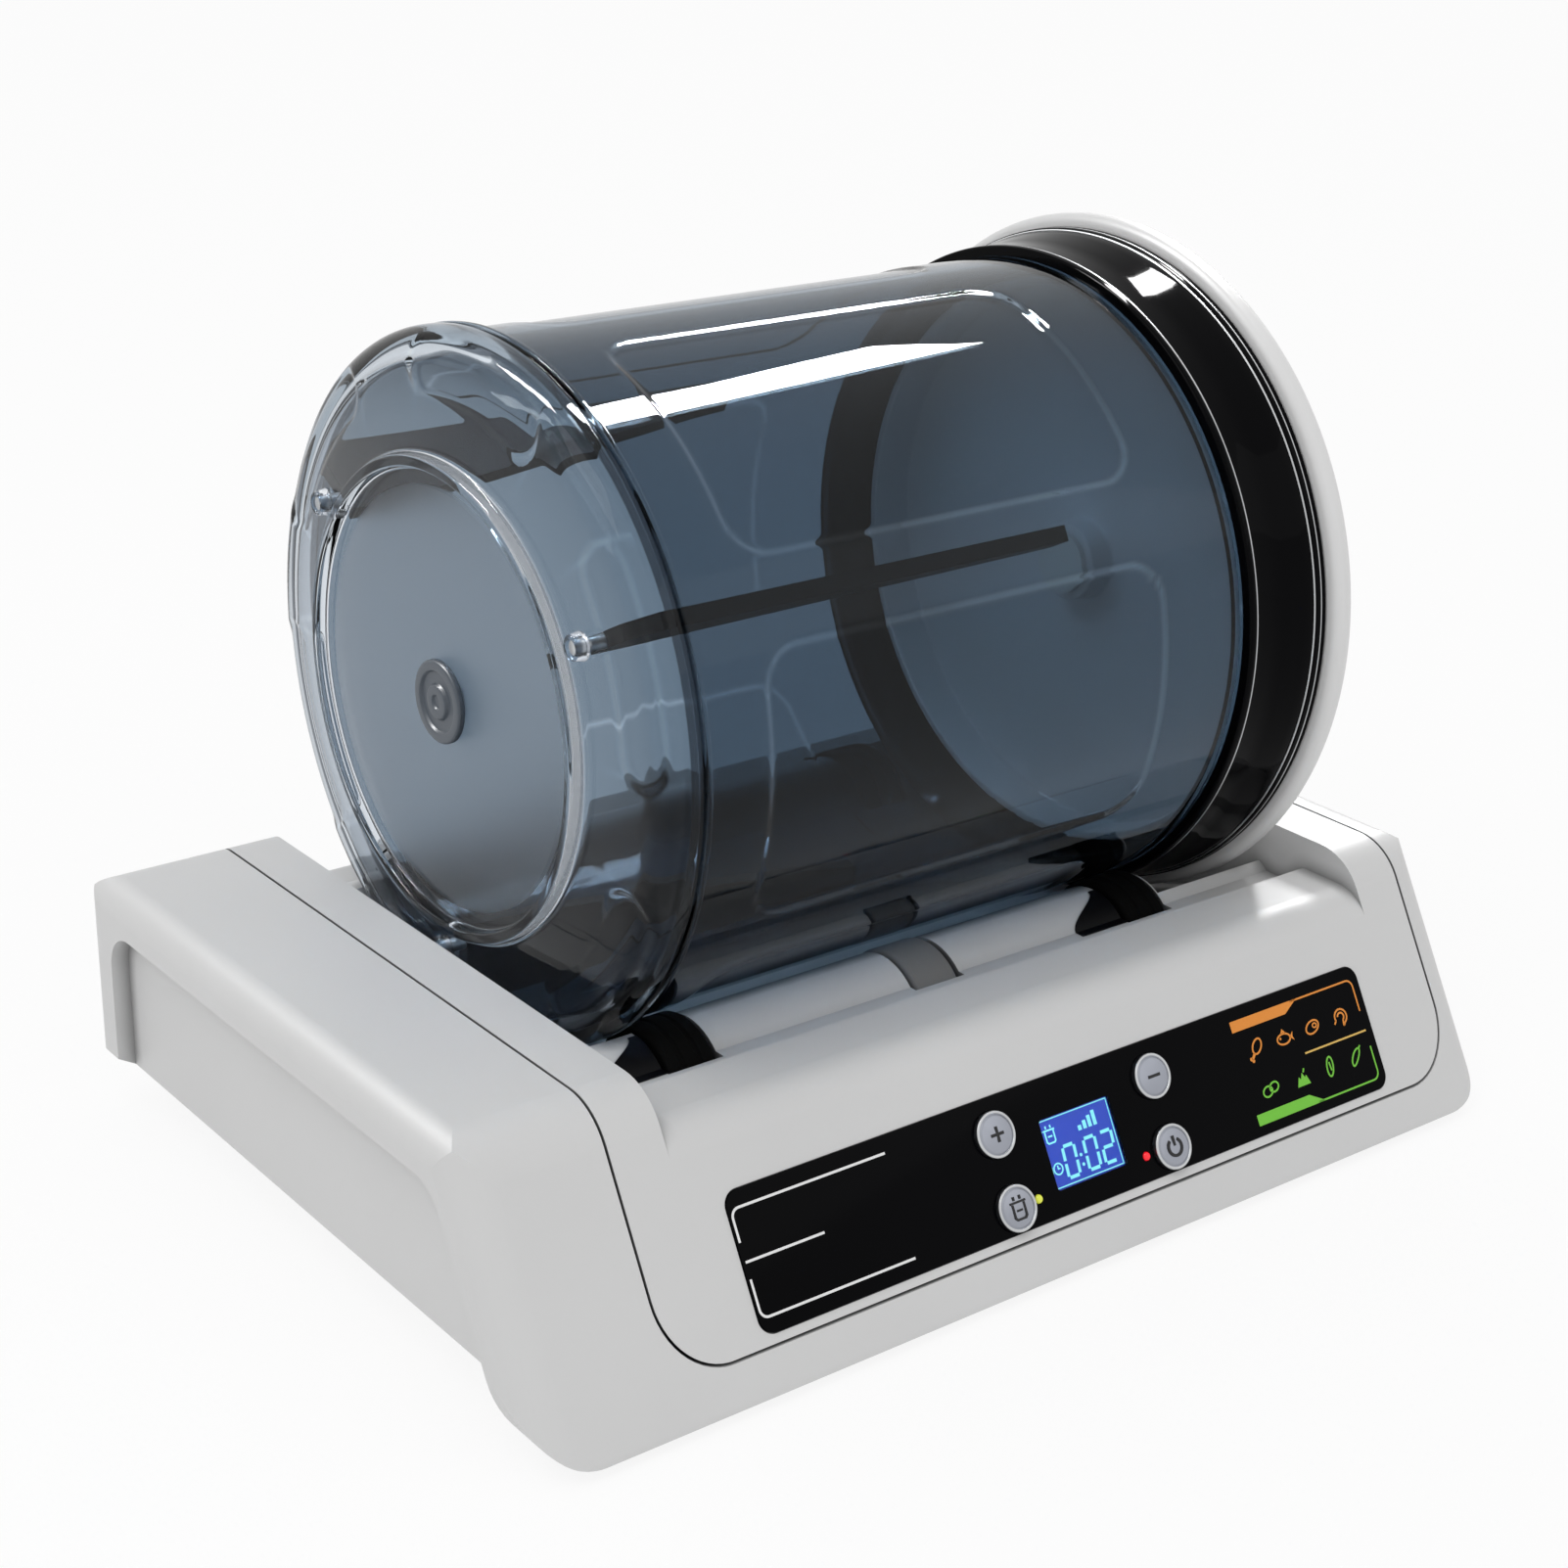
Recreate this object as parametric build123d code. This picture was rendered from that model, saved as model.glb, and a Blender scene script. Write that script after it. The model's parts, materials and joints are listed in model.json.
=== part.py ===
from build123d import *
import math
import os

# Household vacuum tumbler: a clear drum lies on driven rollers in a moulded base.
# Millimetres. X runs along the drum axis, -Y is the control panel side, +Z is up.
# The origin is on the table, under the middle of the whole machine.

# Base body
BASE_LENGTH = 382.0
BASE_TOP = 84.0
FOOT_HEIGHT = 3.0
FRONT_Y = -142.0
BACK_Y = 128.0
SLOPE_DEG = 60.5
WALL = 3.0
SHOULDER_RADIUS = 20.0
BACK_TOP_RADIUS = 10.0
SIDE_TOP_RADIUS = 9.0
SIDE_BOTTOM_RADIUS = 20.0
FRONT_CORNER_RADIUS = 12.0
BACK_CORNER_RADIUS = 7.0

# Grip recess in each side of the base, and the slanted undercut below it
GRIP_DEPTH = 6.0
GRIP_DROP = 14.0
GRIP_SILL = 19.5
GRIP_FRONT_MARGIN = 17.0
GRIP_BACK_MARGIN = 15.0
GRIP_CORNER_RADIUS = 14.0
UNDERCUT_DEG = 30.5

# Seam between the base housing and the top cover
SEAM_GAP = 0.9
LEFT_ARM = 47.0
RIGHT_EDGE = 14.0
COVER_BOTTOM = 15.0
SEAM_RADIUS = 20.0
PARTITION = 2.5
MERGE = 0.01

# Cradle in the top cover
LEFT_SHOULDER = 18.0
RIGHT_SHOULDER = 19.0
RIDGE_DROP = 11.0
RIDGE_RADIUS = 14.0
RIDGE_TO_SHAFT = 30.0
GUTTER_SLOPE = 5.0
RAIL_DROP = 18.0
RAIL_RADIUS = 8.0
CRADLE_CLEARANCE = 5.5
COLLAR_CLEARANCE = 3.0
COLLAR_BAY_MARGIN = 2.0

# Drum
DRUM_Y = 23.0
DRUM_RADIUS = 108.0
DRUM_WALL = 3.0
DRUM_END_GAP = 4.0
FOOT_RING_HEIGHT = 3.5
FOOT_RING_INSET = 33.0
FOOT_RING_WIDTH = 4.5
FOOT_RING_EASE = 0.6
END_TAPER = 3.5
END_BEND = 11.0
INNER_TAPER = 3.0
INNER_BEND = 14.0
SHOULDER_LENGTH = 15.0
SHOULDER_STEP = 3.0
EDGE_EASE = 0.5
RIB_GAP = 2.0
RIB_WIDTH = 6.5
RIB_GROOVE = 1.4
NECK_LENGTH = 29.0
NECK_STEP = 2.5
PANEL_COUNT = 6
PANEL_LEFT_GAP = 22.5
PANEL_RIGHT_GAP = 34.0
PANEL_SPAN_DEG = 46.0
PANEL_FIRST_DEG = -3.0
PANEL_DEPTH = 0.8
PANEL_CORNER_RADIUS = 13.0
PANEL_TOOL = 10.0

# Baffles inside the drum
BAFFLE_COUNT = 3
BAFFLE_FIRST_DEG = 27.5
BAFFLE_END_GAP = 5.5
BAFFLE_MOUTH_GAP = 66.0
BAFFLE_HEIGHT = 28.0
BAFFLE_TIP_HEIGHT = 9.0
BAFFLE_THICKNESS = 5.0
BAFFLE_FOOT = 12.0
BAFFLE_BEVEL = 6.0
BAFFLE_BEVEL_HEIGHT = 9.0
BAFFLE_CLEARANCE = 0.4
PIN_RADIUS = 2.2
PIN_INSET = 25.0
PIN_BOSS_RADIUS = 4.0
PIN_BOSS_HEIGHT = 2.5
PIN_SINK = 1.0
PIN_REACH = 9.0

# Hub plug in the drum's closed end
HUB_FLANGE_RADIUS = 13.0
HUB_STEM_RADIUS = 9.0
HUB_PROUD = 2.2
HUB_EASE = 0.8
HUB_STEM_EXTRA = 1.0

# Collar and lid
COLLAR_LID_GAP = 0.4
COLLAR_RIM_STEP = 2.0
COLLAR_LEFT_STEP = 2.6
COLLAR_RIGHT_STEP = 7.2
COLLAR_LIP_STEP = 8.2
COLLAR_LIP_WIDTH = 4.0
COLLAR_LIP_EASE = 0.6
COLLAR_BEAD = 2.5
COLLAR_BEAD_HEIGHT = 0.9
LID_END_GAP = 6.5
LID_THICKNESS = 9.1
LID_STEP = 11.0
LID_EDGE_RADIUS = 3.5
SKIRT_GAP = 2.9
LID_SKIRT_WALL = 3.0
LID_SKIRT_LENGTH = 15.9
LUG_COUNT = 3
LUG_SPAN_DEG = 28.0
LUG_WIDTH = 4.0
LUG_GAP = 0.6
LUG_ROOT = 1.0
GRIP_POCKET_DEPTH = 5.0
GRIP_BAR_WIDTH = 26.0
GRIP_POCKET_RADIUS = 62.0
SEAL_CLEARANCE = 0.2
SEAL_OVERLAP = 2.3
VALVE_RADIUS = 5.5
VALVE_BOSS_RADIUS = 14.0
VALVE_BOSS_DEPTH = 9.0
VALVE_PROUD = 2.5
VALVE_EASE = 1.0
VALVE_HEAD = 2.0
VALVE_HEAD_RADIUS = 11.0
VALVE_CLEARANCE = 0.3

# Rollers and shafts
ROLLER_RADIUS = 21.0
ROLLER_GAP = 0.3
ROLLER_OFFSET_Y = 71.0
ROLLER_WIDTH = 17.0
ROLLER_EASE = 1.5
ROLLER_RIB_GAP = 11.0
ROLLER_NECK_GAP = 12.5
MIDDLE_ROLLER_OFFSET = 2.5
MIDDLE_ROLLER_RADIUS = 20.0
TYRE_THICKNESS = 5.0
CORE_INSET = 1.0
SLOT_CLEARANCE = 1.5
SHAFT_DROP = 14.0
SHAFT_RADIUS = 4.0
SHAFT_EASE = 0.6
SHAFT_FIT = 0.05
SHAFT_OVERHANG = 8.5
BUSH_RADIUS = 7.0
BUSH_FLANGE = 1.0
BUSH_FLANGE_STEP = 2.0
BEARING_WIDTH = 8.0
BEARING_HALF_DEPTH = 10.0
BEARING_FOOT = 4.0
BEARING_LEFT_GAP = 24.5
BEARING_RIGHT_GAP = 18.5
SHAFT_COVER_RADIUS = 19.5

# Gear drive in the left arm
GEAR_MODULE = 1.25
PINION_TEETH = 17
GEAR_TEETH = 34
GEAR_WIDTH = 8.0
GEAR_BACKLASH = 0.3
GEAR_GAP = 2.6
ADDENDUM = 0.9
DEDENDUM = 1.25
FLANK_STEPS = 4
PRESSURE_DEG = 20.0
PINION_ANGLE_DEG = -14.0
MOTOR_RADIUS = 23.0
MOTOR_LENGTH = 19.0
MOTOR_EASE = 2.0
MOTOR_SHAFT_RADIUS = 3.0
MOTOR_SHAFT_SINK = 4.0
BRACKET_THICKNESS = 2.0
BRACKET_GAP = 1.0
SPACER_RADIUS = 3.0
SPACER_RING = 19.0
SPACER_DEGREES = (-75, 0, 75)

# Bottom plate, feet and screws
PLATE_EDGE = 2.0
PLATE_FRONT_INSET = 18.0
PLATE_BACK_INSET = 12.0
PLATE_CLEARANCE = 0.4
FOOT_RADIUS = 9.0
FOOT_PEG_RADIUS = 3.0
FOOT_INSET_X = 24.0
FOOT_INSET_Y = 20.0
POST_RADIUS = 4.5
POST_EDGE = 5.0
POST_INSET_X = 7.5
POST_FRONT_INSET = 40.0
POST_BACK_INSET = 6.0
ARM_POST_BACK_INSET = 18.0
SCREW_RADIUS = 1.5
SCREW_HEAD_RADIUS = 3.0
SCREW_HEAD_HEIGHT = 1.4
SCREW_LENGTH = 12.0
SCREW_TIP_GAP = 1.0
SCREW_FIT = 0.1

# Control panel; T is the distance up the front slope from its bottom edge
PANEL_T = 37.5
PANEL_END_MARGIN = 31.0
PANEL_HEIGHT = 41.5
PANEL_RADIUS = 5.0
PANEL_THICKNESS = 1.2
PANEL_SINK = 0.9
PANEL_CLEARANCE = 0.3
BUTTON_RADIUS = 7.2
BUTTON_CLEARANCE = 0.3
BUTTON_PROUD = 2.2
BUTTON_DOME = 0.6
BUTTON_TRAVEL = 0.8
BUTTON_FLANGE = 0.8
BUTTON_FLANGE_THICKNESS = 1.0
BUTTON_STEM_RADIUS = 2.5
BUTTON_LEFT_OFFSET = -33.0
BUTTON_RIGHT_OFFSET = 31.8
BUTTON_TOP_OFFSET = 9.6
BUTTON_BOTTOM_OFFSET = -13.2
LCD_OFFSET_X = -0.9
LCD_OFFSET_T = -2.3
LCD_LENGTH = 28.8
LCD_HEIGHT = 22.0
LCD_MARGIN = 2.0
LCD_CORNER = 1.0
LED_RADIUS = 1.4
LED_DOME = 0.8
LED_CLEARANCE = 0.2
LED_PROUD = 0.7
POWER_LED_OFFSET = 21.5
VACUUM_LED_OFFSET = -23.3
BOARD_DEPTH = 10.4
BOARD_THICKNESS = 1.6
BOARD_LENGTH = 170.0
BOARD_HEIGHT = 34.0
BOARD_CORNER = 1.0
STANDOFF_RADIUS = 3.0
SWITCH_SIZE = 6.0
SWITCH_HEIGHT = 3.0
SWITCH_CORNER = 0.5
PLUNGER_RADIUS = 1.7
PLUNGER_GAP = 0.1

# Vacuum pump, its port in the back, and the mains inlet
PUMP_X = -40.0
PUMP_Y = 14.0
PUMP_RADIUS = 14.0
PUMP_LENGTH = 46.0
PUMP_EASE = 2.0
PUMP_HEAD = 32.0
PUMP_HEAD_LENGTH = 26.0
PUMP_HEAD_RADIUS = 3.0
SADDLE_INSET = 8.0
SADDLE_WIDTH = 16.0
NOZZLE_RADIUS = 2.0
NOZZLE_LENGTH = 10.0
TUBE_RADIUS = 3.6
TUBE_FIT = 0.05
TUBE_END_GAP = 1.0
PORT_FLANGE_RADIUS = 9.0
PORT_FLANGE = 2.0
PORT_BODY_RADIUS = 5.0
PORT_NOZZLE = 9.0
PORT_WALL = 1.4
PORT_BORE = 1.0
INLET_SIDE = 23.0
INLET_Z = 34.0
INLET_LENGTH = 24.0
INLET_HEIGHT = 14.0
INLET_CORNER = 2.0
INLET_DEPTH = 16.0
INLET_FLANGE = 2.0
INLET_RIM = 3.0
INLET_SOCKET_DEPTH = 11.0
INLET_PIN_RADIUS = 1.2
INLET_PIN_PITCH = 8.6
INLET_PIN_SINK = 2.0
INLET_CLEARANCE = 0.3
POWER_BOARD_INSET = 43.0
POWER_BOARD_Y = 22.0
POWER_BOARD_LENGTH = 64.0
POWER_BOARD_WIDTH = 52.0
POWER_BOARD_LIFT = 4.0
POWER_BOARD_LEG_INSET = 4.0
TRANSFORMER = 18.0
TRANSFORMER_LENGTH = 24.0
TRANSFORMER_INSET = 6.0

# Worked out from the sizes above: the base and its seam
SLOPE = math.radians(SLOPE_DEG)
UNDERCUT = math.radians(UNDERCUT_DEG)
HALF_LENGTH = BASE_LENGTH / 2
FLOOR = FOOT_HEIGHT + WALL
BIG = 600.0
PAST = 1.0
FACE = Plane(
    origin=(0, FRONT_Y, FOOT_HEIGHT),
    x_dir=(1, 0, 0),
    z_dir=(0, -math.sin(SLOPE), math.cos(SLOPE)),
)
GRIP_TOP = BASE_TOP - GRIP_DROP
COVER_LEFT = -HALF_LENGTH + LEFT_ARM
COVER_RIGHT = HALF_LENGTH - RIGHT_EDGE
SEAM_LEFT = COVER_LEFT - SEAM_GAP
SEAM_RIGHT = COVER_RIGHT + SEAM_GAP
PARTITION_LEFT = SEAM_LEFT - PARTITION

# The drum's stations along X, from the cradle's two ends
CRADLE_LEFT = COVER_LEFT + LEFT_SHOULDER
CRADLE_RIGHT = COVER_RIGHT - RIGHT_SHOULDER
DRUM_FOOT = CRADLE_LEFT + DRUM_END_GAP
DRUM_END = DRUM_FOOT + FOOT_RING_HEIGHT
SHOULDER_X = DRUM_FOOT + SHOULDER_LENGTH
RIB_LEFT = SHOULDER_X + RIB_GAP
RIB_RIGHT = RIB_LEFT + RIB_WIDTH
LID_RIGHT = CRADLE_RIGHT - LID_END_GAP
LID_LEFT = LID_RIGHT - LID_THICKNESS
LID_SKIRT_LEFT = LID_LEFT - LID_SKIRT_LENGTH
COLLAR_RIGHT = LID_LEFT - COLLAR_LID_GAP
NECK_RIGHT = COLLAR_RIGHT - COLLAR_RIM_STEP
NECK_LEFT = NECK_RIGHT - NECK_LENGTH
COLLAR_BAY_LEFT = NECK_LEFT - COLLAR_BAY_MARGIN
PANEL_LEFT = RIB_RIGHT + PANEL_LEFT_GAP
PANEL_RIGHT = NECK_LEFT - PANEL_RIGHT_GAP
BAFFLE_LEFT = DRUM_END + DRUM_WALL + BAFFLE_END_GAP
BAFFLE_RIGHT = NECK_LEFT - BAFFLE_MOUTH_GAP

# The drum's radii
DRUM_INNER = DRUM_RADIUS - DRUM_WALL
FOOT_RING_RADIUS = DRUM_RADIUS - FOOT_RING_INSET
PIN_RING_RADIUS = DRUM_RADIUS - PIN_INSET
NECK_RADIUS = DRUM_RADIUS - NECK_STEP
NECK_INNER = NECK_RADIUS - DRUM_WALL
COLLAR_LEFT_RADIUS = DRUM_RADIUS + COLLAR_LEFT_STEP
COLLAR_RIGHT_RADIUS = DRUM_RADIUS + COLLAR_RIGHT_STEP
COLLAR_LIP_RADIUS = DRUM_RADIUS + COLLAR_LIP_STEP
LID_RADIUS = DRUM_RADIUS + LID_STEP
LID_SKIRT_RADIUS = NECK_INNER - SKIRT_GAP
SEAL_INNER_RADIUS = NECK_INNER - SEAL_OVERLAP
LUG_DEPTH = NECK_INNER - LID_SKIRT_RADIUS - LUG_GAP + LUG_ROOT
CRADLE_RADIUS = DRUM_RADIUS + CRADLE_CLEARANCE
COLLAR_BAY_RADIUS = LID_RADIUS + COLLAR_CLEARANCE

# Rollers under the drum, which carries itself on them
RIDGE_TOP = BASE_TOP - RIDGE_DROP
RAIL_TOP = BASE_TOP - RAIL_DROP
ROLLER_Z = RAIL_TOP - SHAFT_DROP
ROLLER_DISTANCE = DRUM_RADIUS + ROLLER_RADIUS + ROLLER_GAP
DRUM_Z = ROLLER_Z + math.sqrt(ROLLER_DISTANCE**2 - ROLLER_OFFSET_Y**2)
FRONT_SHAFT_Y = DRUM_Y - ROLLER_OFFSET_Y
REAR_SHAFT_Y = DRUM_Y + ROLLER_OFFSET_Y
RIDGE_BACK_Y = FRONT_SHAFT_Y - RIDGE_TO_SHAFT
GUTTER_Y = RIDGE_BACK_Y + GUTTER_SLOPE
ROLLER_LEFT_X = RIB_RIGHT + ROLLER_RIB_GAP
ROLLER_RIGHT_X = NECK_LEFT - ROLLER_NECK_GAP
ROLLER_XS = {"left": ROLLER_LEFT_X, "right": ROLLER_RIGHT_X}
MIDDLE_ROLLER_X = (ROLLER_LEFT_X + ROLLER_RIGHT_X) / 2 + MIDDLE_ROLLER_OFFSET
SHAFT_RIGHT = ROLLER_RIGHT_X + SHAFT_OVERHANG
BEARING_LEFT_X = ROLLER_LEFT_X - BEARING_LEFT_GAP
BEARING_RIGHT_X = ROLLER_RIGHT_X - BEARING_RIGHT_GAP

# Gear drive
GEAR_LEFT = PARTITION_LEFT - GEAR_GAP - GEAR_WIDTH
PINION_RADIUS = GEAR_MODULE * PINION_TEETH / 2
GEAR_RADIUS = GEAR_MODULE * GEAR_TEETH / 2
PINION_Y = FRONT_SHAFT_Y + (PINION_RADIUS + GEAR_RADIUS) * math.cos(math.radians(PINION_ANGLE_DEG))
PINION_Z = ROLLER_Z + (PINION_RADIUS + GEAR_RADIUS) * math.sin(math.radians(PINION_ANGLE_DEG))
BRACKET_RIGHT = GEAR_LEFT - BRACKET_GAP
MOTOR_RIGHT = BRACKET_RIGHT - BRACKET_THICKNESS

# Bottom plate, its posts and feet
KEEL_HALF = HALF_LENGTH - GRIP_DEPTH - (GRIP_SILL - FOOT_HEIGHT) / math.tan(UNDERCUT)
PLATE_HALF_LENGTH = KEEL_HALF - PLATE_EDGE
PLATE_FRONT_Y = FRONT_Y + PLATE_FRONT_INSET
PLATE_BACK_Y = BACK_Y - PLATE_BACK_INSET
POST_X = PLATE_HALF_LENGTH - POST_EDGE
POST_FRONT_Y = PLATE_FRONT_Y + POST_FRONT_INSET
POST_BACK_Y = PLATE_BACK_Y - POST_BACK_INSET
COVER_POSTS = [(x, y) for x in (COVER_LEFT + POST_INSET_X, POST_X) for y in (POST_FRONT_Y, POST_BACK_Y)]
ARM_POSTS = [(-POST_X, POST_FRONT_Y), (-POST_X, PLATE_BACK_Y - ARM_POST_BACK_INSET)]
FEET = [
    (side * (PLATE_HALF_LENGTH - FOOT_INSET_X), y)
    for side in (-1, 1)
    for y in (PLATE_FRONT_Y + FOOT_INSET_Y, PLATE_BACK_Y - FOOT_INSET_Y)
]

# Control panel, pump and inlet
PANEL_X = (COVER_LEFT + COVER_RIGHT) / 2
PANEL_LENGTH = COVER_RIGHT - COVER_LEFT - 2 * PANEL_END_MARGIN
BUTTON_LEFT_X = PANEL_X + BUTTON_LEFT_OFFSET
BUTTON_RIGHT_X = PANEL_X + BUTTON_RIGHT_OFFSET
BUTTON_TOP_T = PANEL_T + BUTTON_TOP_OFFSET
BUTTON_BOTTOM_T = PANEL_T + BUTTON_BOTTOM_OFFSET
BUTTONS = {
    "plus_button": (BUTTON_LEFT_X, BUTTON_TOP_T),
    "minus_button": (BUTTON_RIGHT_X, BUTTON_TOP_T),
    "vacuum_button": (BUTTON_LEFT_X, BUTTON_BOTTOM_T),
    "power_button": (BUTTON_RIGHT_X, BUTTON_BOTTOM_T),
}
LEDS = {
    "power_led": (PANEL_X + POWER_LED_OFFSET, BUTTON_BOTTOM_T),
    "vacuum_led": (PANEL_X + VACUUM_LED_OFFSET, BUTTON_BOTTOM_T),
}
LCD_X = PANEL_X + LCD_OFFSET_X
LCD_T = PANEL_T + LCD_OFFSET_T
PUMP_Z = FLOOR + PUMP_HEAD / 2
INLET_X = -HALF_LENGTH + INLET_SIDE
POWER_BOARD_X = PLATE_HALF_LENGTH - POWER_BOARD_INSET


def block(x0, x1, y0, y1, z0, z1):
    """Box between two corners."""
    return Pos((x0 + x1) / 2, (y0 + y1) / 2, (z0 + z1) / 2) * Box(x1 - x0, y1 - y0, z1 - z0)


def rod(x0, x1, radius, y, z):
    """Cylinder along X."""
    return Pos((x0 + x1) / 2, y, z) * Cylinder(radius, x1 - x0, rotation=(0, 90, 0))


def tube(x0, x1, outer, inner, y, z):
    """Hollow cylinder along X."""
    return rod(x0, x1, outer, y, z) - rod(x0, x1, inner, y, z)


def along_y(y0, y1, radius, x, z):
    """Cylinder along Y."""
    return Pos(x, (y0 + y1) / 2, z) * Cylinder(radius, y1 - y0, rotation=(90, 0, 0))


def post(x, y, z0, z1, radius):
    """Upright cylinder."""
    return Pos(x, y, (z0 + z1) / 2) * Cylinder(radius, z1 - z0)


def on_face(x, t, depth0, depth1, radius):
    """Cylinder square to the front slope, between two depths below its surface."""
    return FACE * Pos(x, t, -(depth0 + depth1) / 2) * Cylinder(radius, depth1 - depth0)


def face_plate(x, t, length, height, depth0, depth1, radius):
    """Plate with rounded corners, square to the front slope."""
    outline = RectangleRounded(length, height, radius)
    return FACE * Pos(x, t, -depth1) * extrude(outline, depth1 - depth0)


def drum_turn(outline):
    """Solid of revolution about the drum axis, from a sketch in (x, radius)."""
    return Pos(0, DRUM_Y, DRUM_Z) * revolve(outline, Axis.X)


def around_drum(shape, degrees):
    """Turn a piece that lies above the drum axis to an angle up from the panel side."""
    return Pos(0, DRUM_Y, DRUM_Z) * Rot(90 - degrees, 0, 0) * shape


def slope_y(z, inset):
    """Y of the front slope at a height, moved in by a wall."""
    return FRONT_Y + (z - FOOT_HEIGHT) / math.tan(SLOPE) + inset / math.sin(SLOPE)


def base_body(inset, side_inset):
    """Outer form of the base, or the same form moved in by a wall."""
    z0 = FOOT_HEIGHT + inset
    z1 = BASE_TOP - inset
    half = HALF_LENGTH - side_inset
    ends = Pos(0, (z0 + z1) / 2) * Rectangle(2 * half, z1 - z0)
    ends = fillet(ends.vertices().group_by(Axis.Y)[-1], SIDE_TOP_RADIUS - inset)
    ends = fillet(ends.vertices().group_by(Axis.Y)[0], SIDE_BOTTOM_RADIUS - inset)
    outline = Polygon(
        (slope_y(z0, inset), z0),
        (BACK_Y - inset, z0),
        (BACK_Y - inset, z1),
        (slope_y(z1, inset), z1),
        align=None,
    )
    top = outline.vertices().group_by(Axis.Y)[-1].sort_by(Axis.X)
    outline = fillet(top[0], SHOULDER_RADIUS - inset)
    back = outline.vertices().group_by(Axis.Y)[-1].sort_by(Axis.X)
    outline = fillet(back[-1], BACK_TOP_RADIUS - inset)
    ends_prism = extrude(Plane.XZ * ends, BIG, both=True)
    side_prism = extrude(Plane.YZ * outline, BIG, both=True)
    return ends_prism & side_prism


def corner_cutters(radius):
    """Sketches of what rounds both ends of the edge y = 0 of a body that lies at y > 0."""
    cutters = []
    for side in (-1, 1):
        square = Pos(side * HALF_LENGTH, 0) * Rectangle(2 * radius, 2 * radius)
        cutters.append(square - Pos(side * (HALF_LENGTH - radius), radius) * Circle(radius))
    return cutters


def outer_body():
    """Base form with its upright corner edges rounded."""
    body = base_body(0, 0)
    front = Plane(FACE.origin, x_dir=FACE.x_dir, z_dir=FACE.y_dir)
    back = Plane((0, BACK_Y, 0), x_dir=(-1, 0, 0), z_dir=(0, 0, 1))
    for plane, radius in ((front, FRONT_CORNER_RADIUS), (back, BACK_CORNER_RADIUS)):
        for cutter in corner_cutters(radius):
            body -= extrude(plane * cutter, BIG, both=True)
    return body


def side_undercut(grow):
    """Space under the slanted lower sides, behind the front corners."""
    rise = math.tan(UNDERCUT)
    apex = GRIP_SILL - (HALF_LENGTH - GRIP_DEPTH) * rise + grow / math.cos(UNDERCUT)
    keel = Polygon((0, apex), (BIG, apex + BIG * rise), (-BIG, apex + BIG * rise), align=None)
    margin = GRIP_FRONT_MARGIN - grow / math.sin(SLOPE)
    behind = Polygon(
        (slope_y(-BIG, 0) + margin, -BIG),
        (BIG, -BIG),
        (BIG, BIG),
        (slope_y(BIG, 0) + margin, BIG),
        align=None,
    )
    return extrude(Plane.YZ * behind, BIG, both=True) - extrude(Plane.XZ * keel, 2 * BIG, both=True)


def grip_recess():
    """Finger recesses in both sides, open at the bottom edge."""
    front_top = slope_y(GRIP_TOP, 0) + GRIP_FRONT_MARGIN
    front_bottom = slope_y(0, 0) + GRIP_FRONT_MARGIN
    outline = Polygon(
        (front_bottom, 0),
        (BACK_Y - GRIP_BACK_MARGIN, 0),
        (BACK_Y - GRIP_BACK_MARGIN, GRIP_TOP),
        (front_top, GRIP_TOP),
        align=None,
    )
    outline = fillet(outline.vertices().group_by(Axis.Y)[-1], GRIP_CORNER_RADIUS)
    outside = extrude(Plane.YZ * outline, BIG, both=True)
    return outside - block(-HALF_LENGTH + GRIP_DEPTH, HALF_LENGTH - GRIP_DEPTH, -BIG, BIG, -BIG, BIG)


def seam_prism(grow):
    """Region of the top cover, bounded by the seam."""
    left = COVER_LEFT - grow
    right = COVER_RIGHT + grow
    bottom = COVER_BOTTOM - grow
    outline = Pos((left + right) / 2, (bottom + BIG) / 2) * Rectangle(right - left, BIG - bottom)
    outline = fillet(outline.vertices().group_by(Axis.Y)[0], SEAM_RADIUS + grow)
    return extrude(Plane.XZ * outline, BIG, both=True)


def meeting_point(y, z, radius, side):
    """Where a shaft cover at (y, z) meets the cradle arc, on the drum's underside."""
    reach = math.hypot(y - DRUM_Y, z - DRUM_Z)
    along = (CRADLE_RADIUS**2 - radius**2 + reach**2) / (2 * reach)
    across = math.sqrt(CRADLE_RADIUS**2 - along**2)
    uy = (y - DRUM_Y) / reach
    uz = (z - DRUM_Z) / reach
    return DRUM_Y + along * uy - side * across * uz, DRUM_Z + along * uz + side * across * uy


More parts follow.
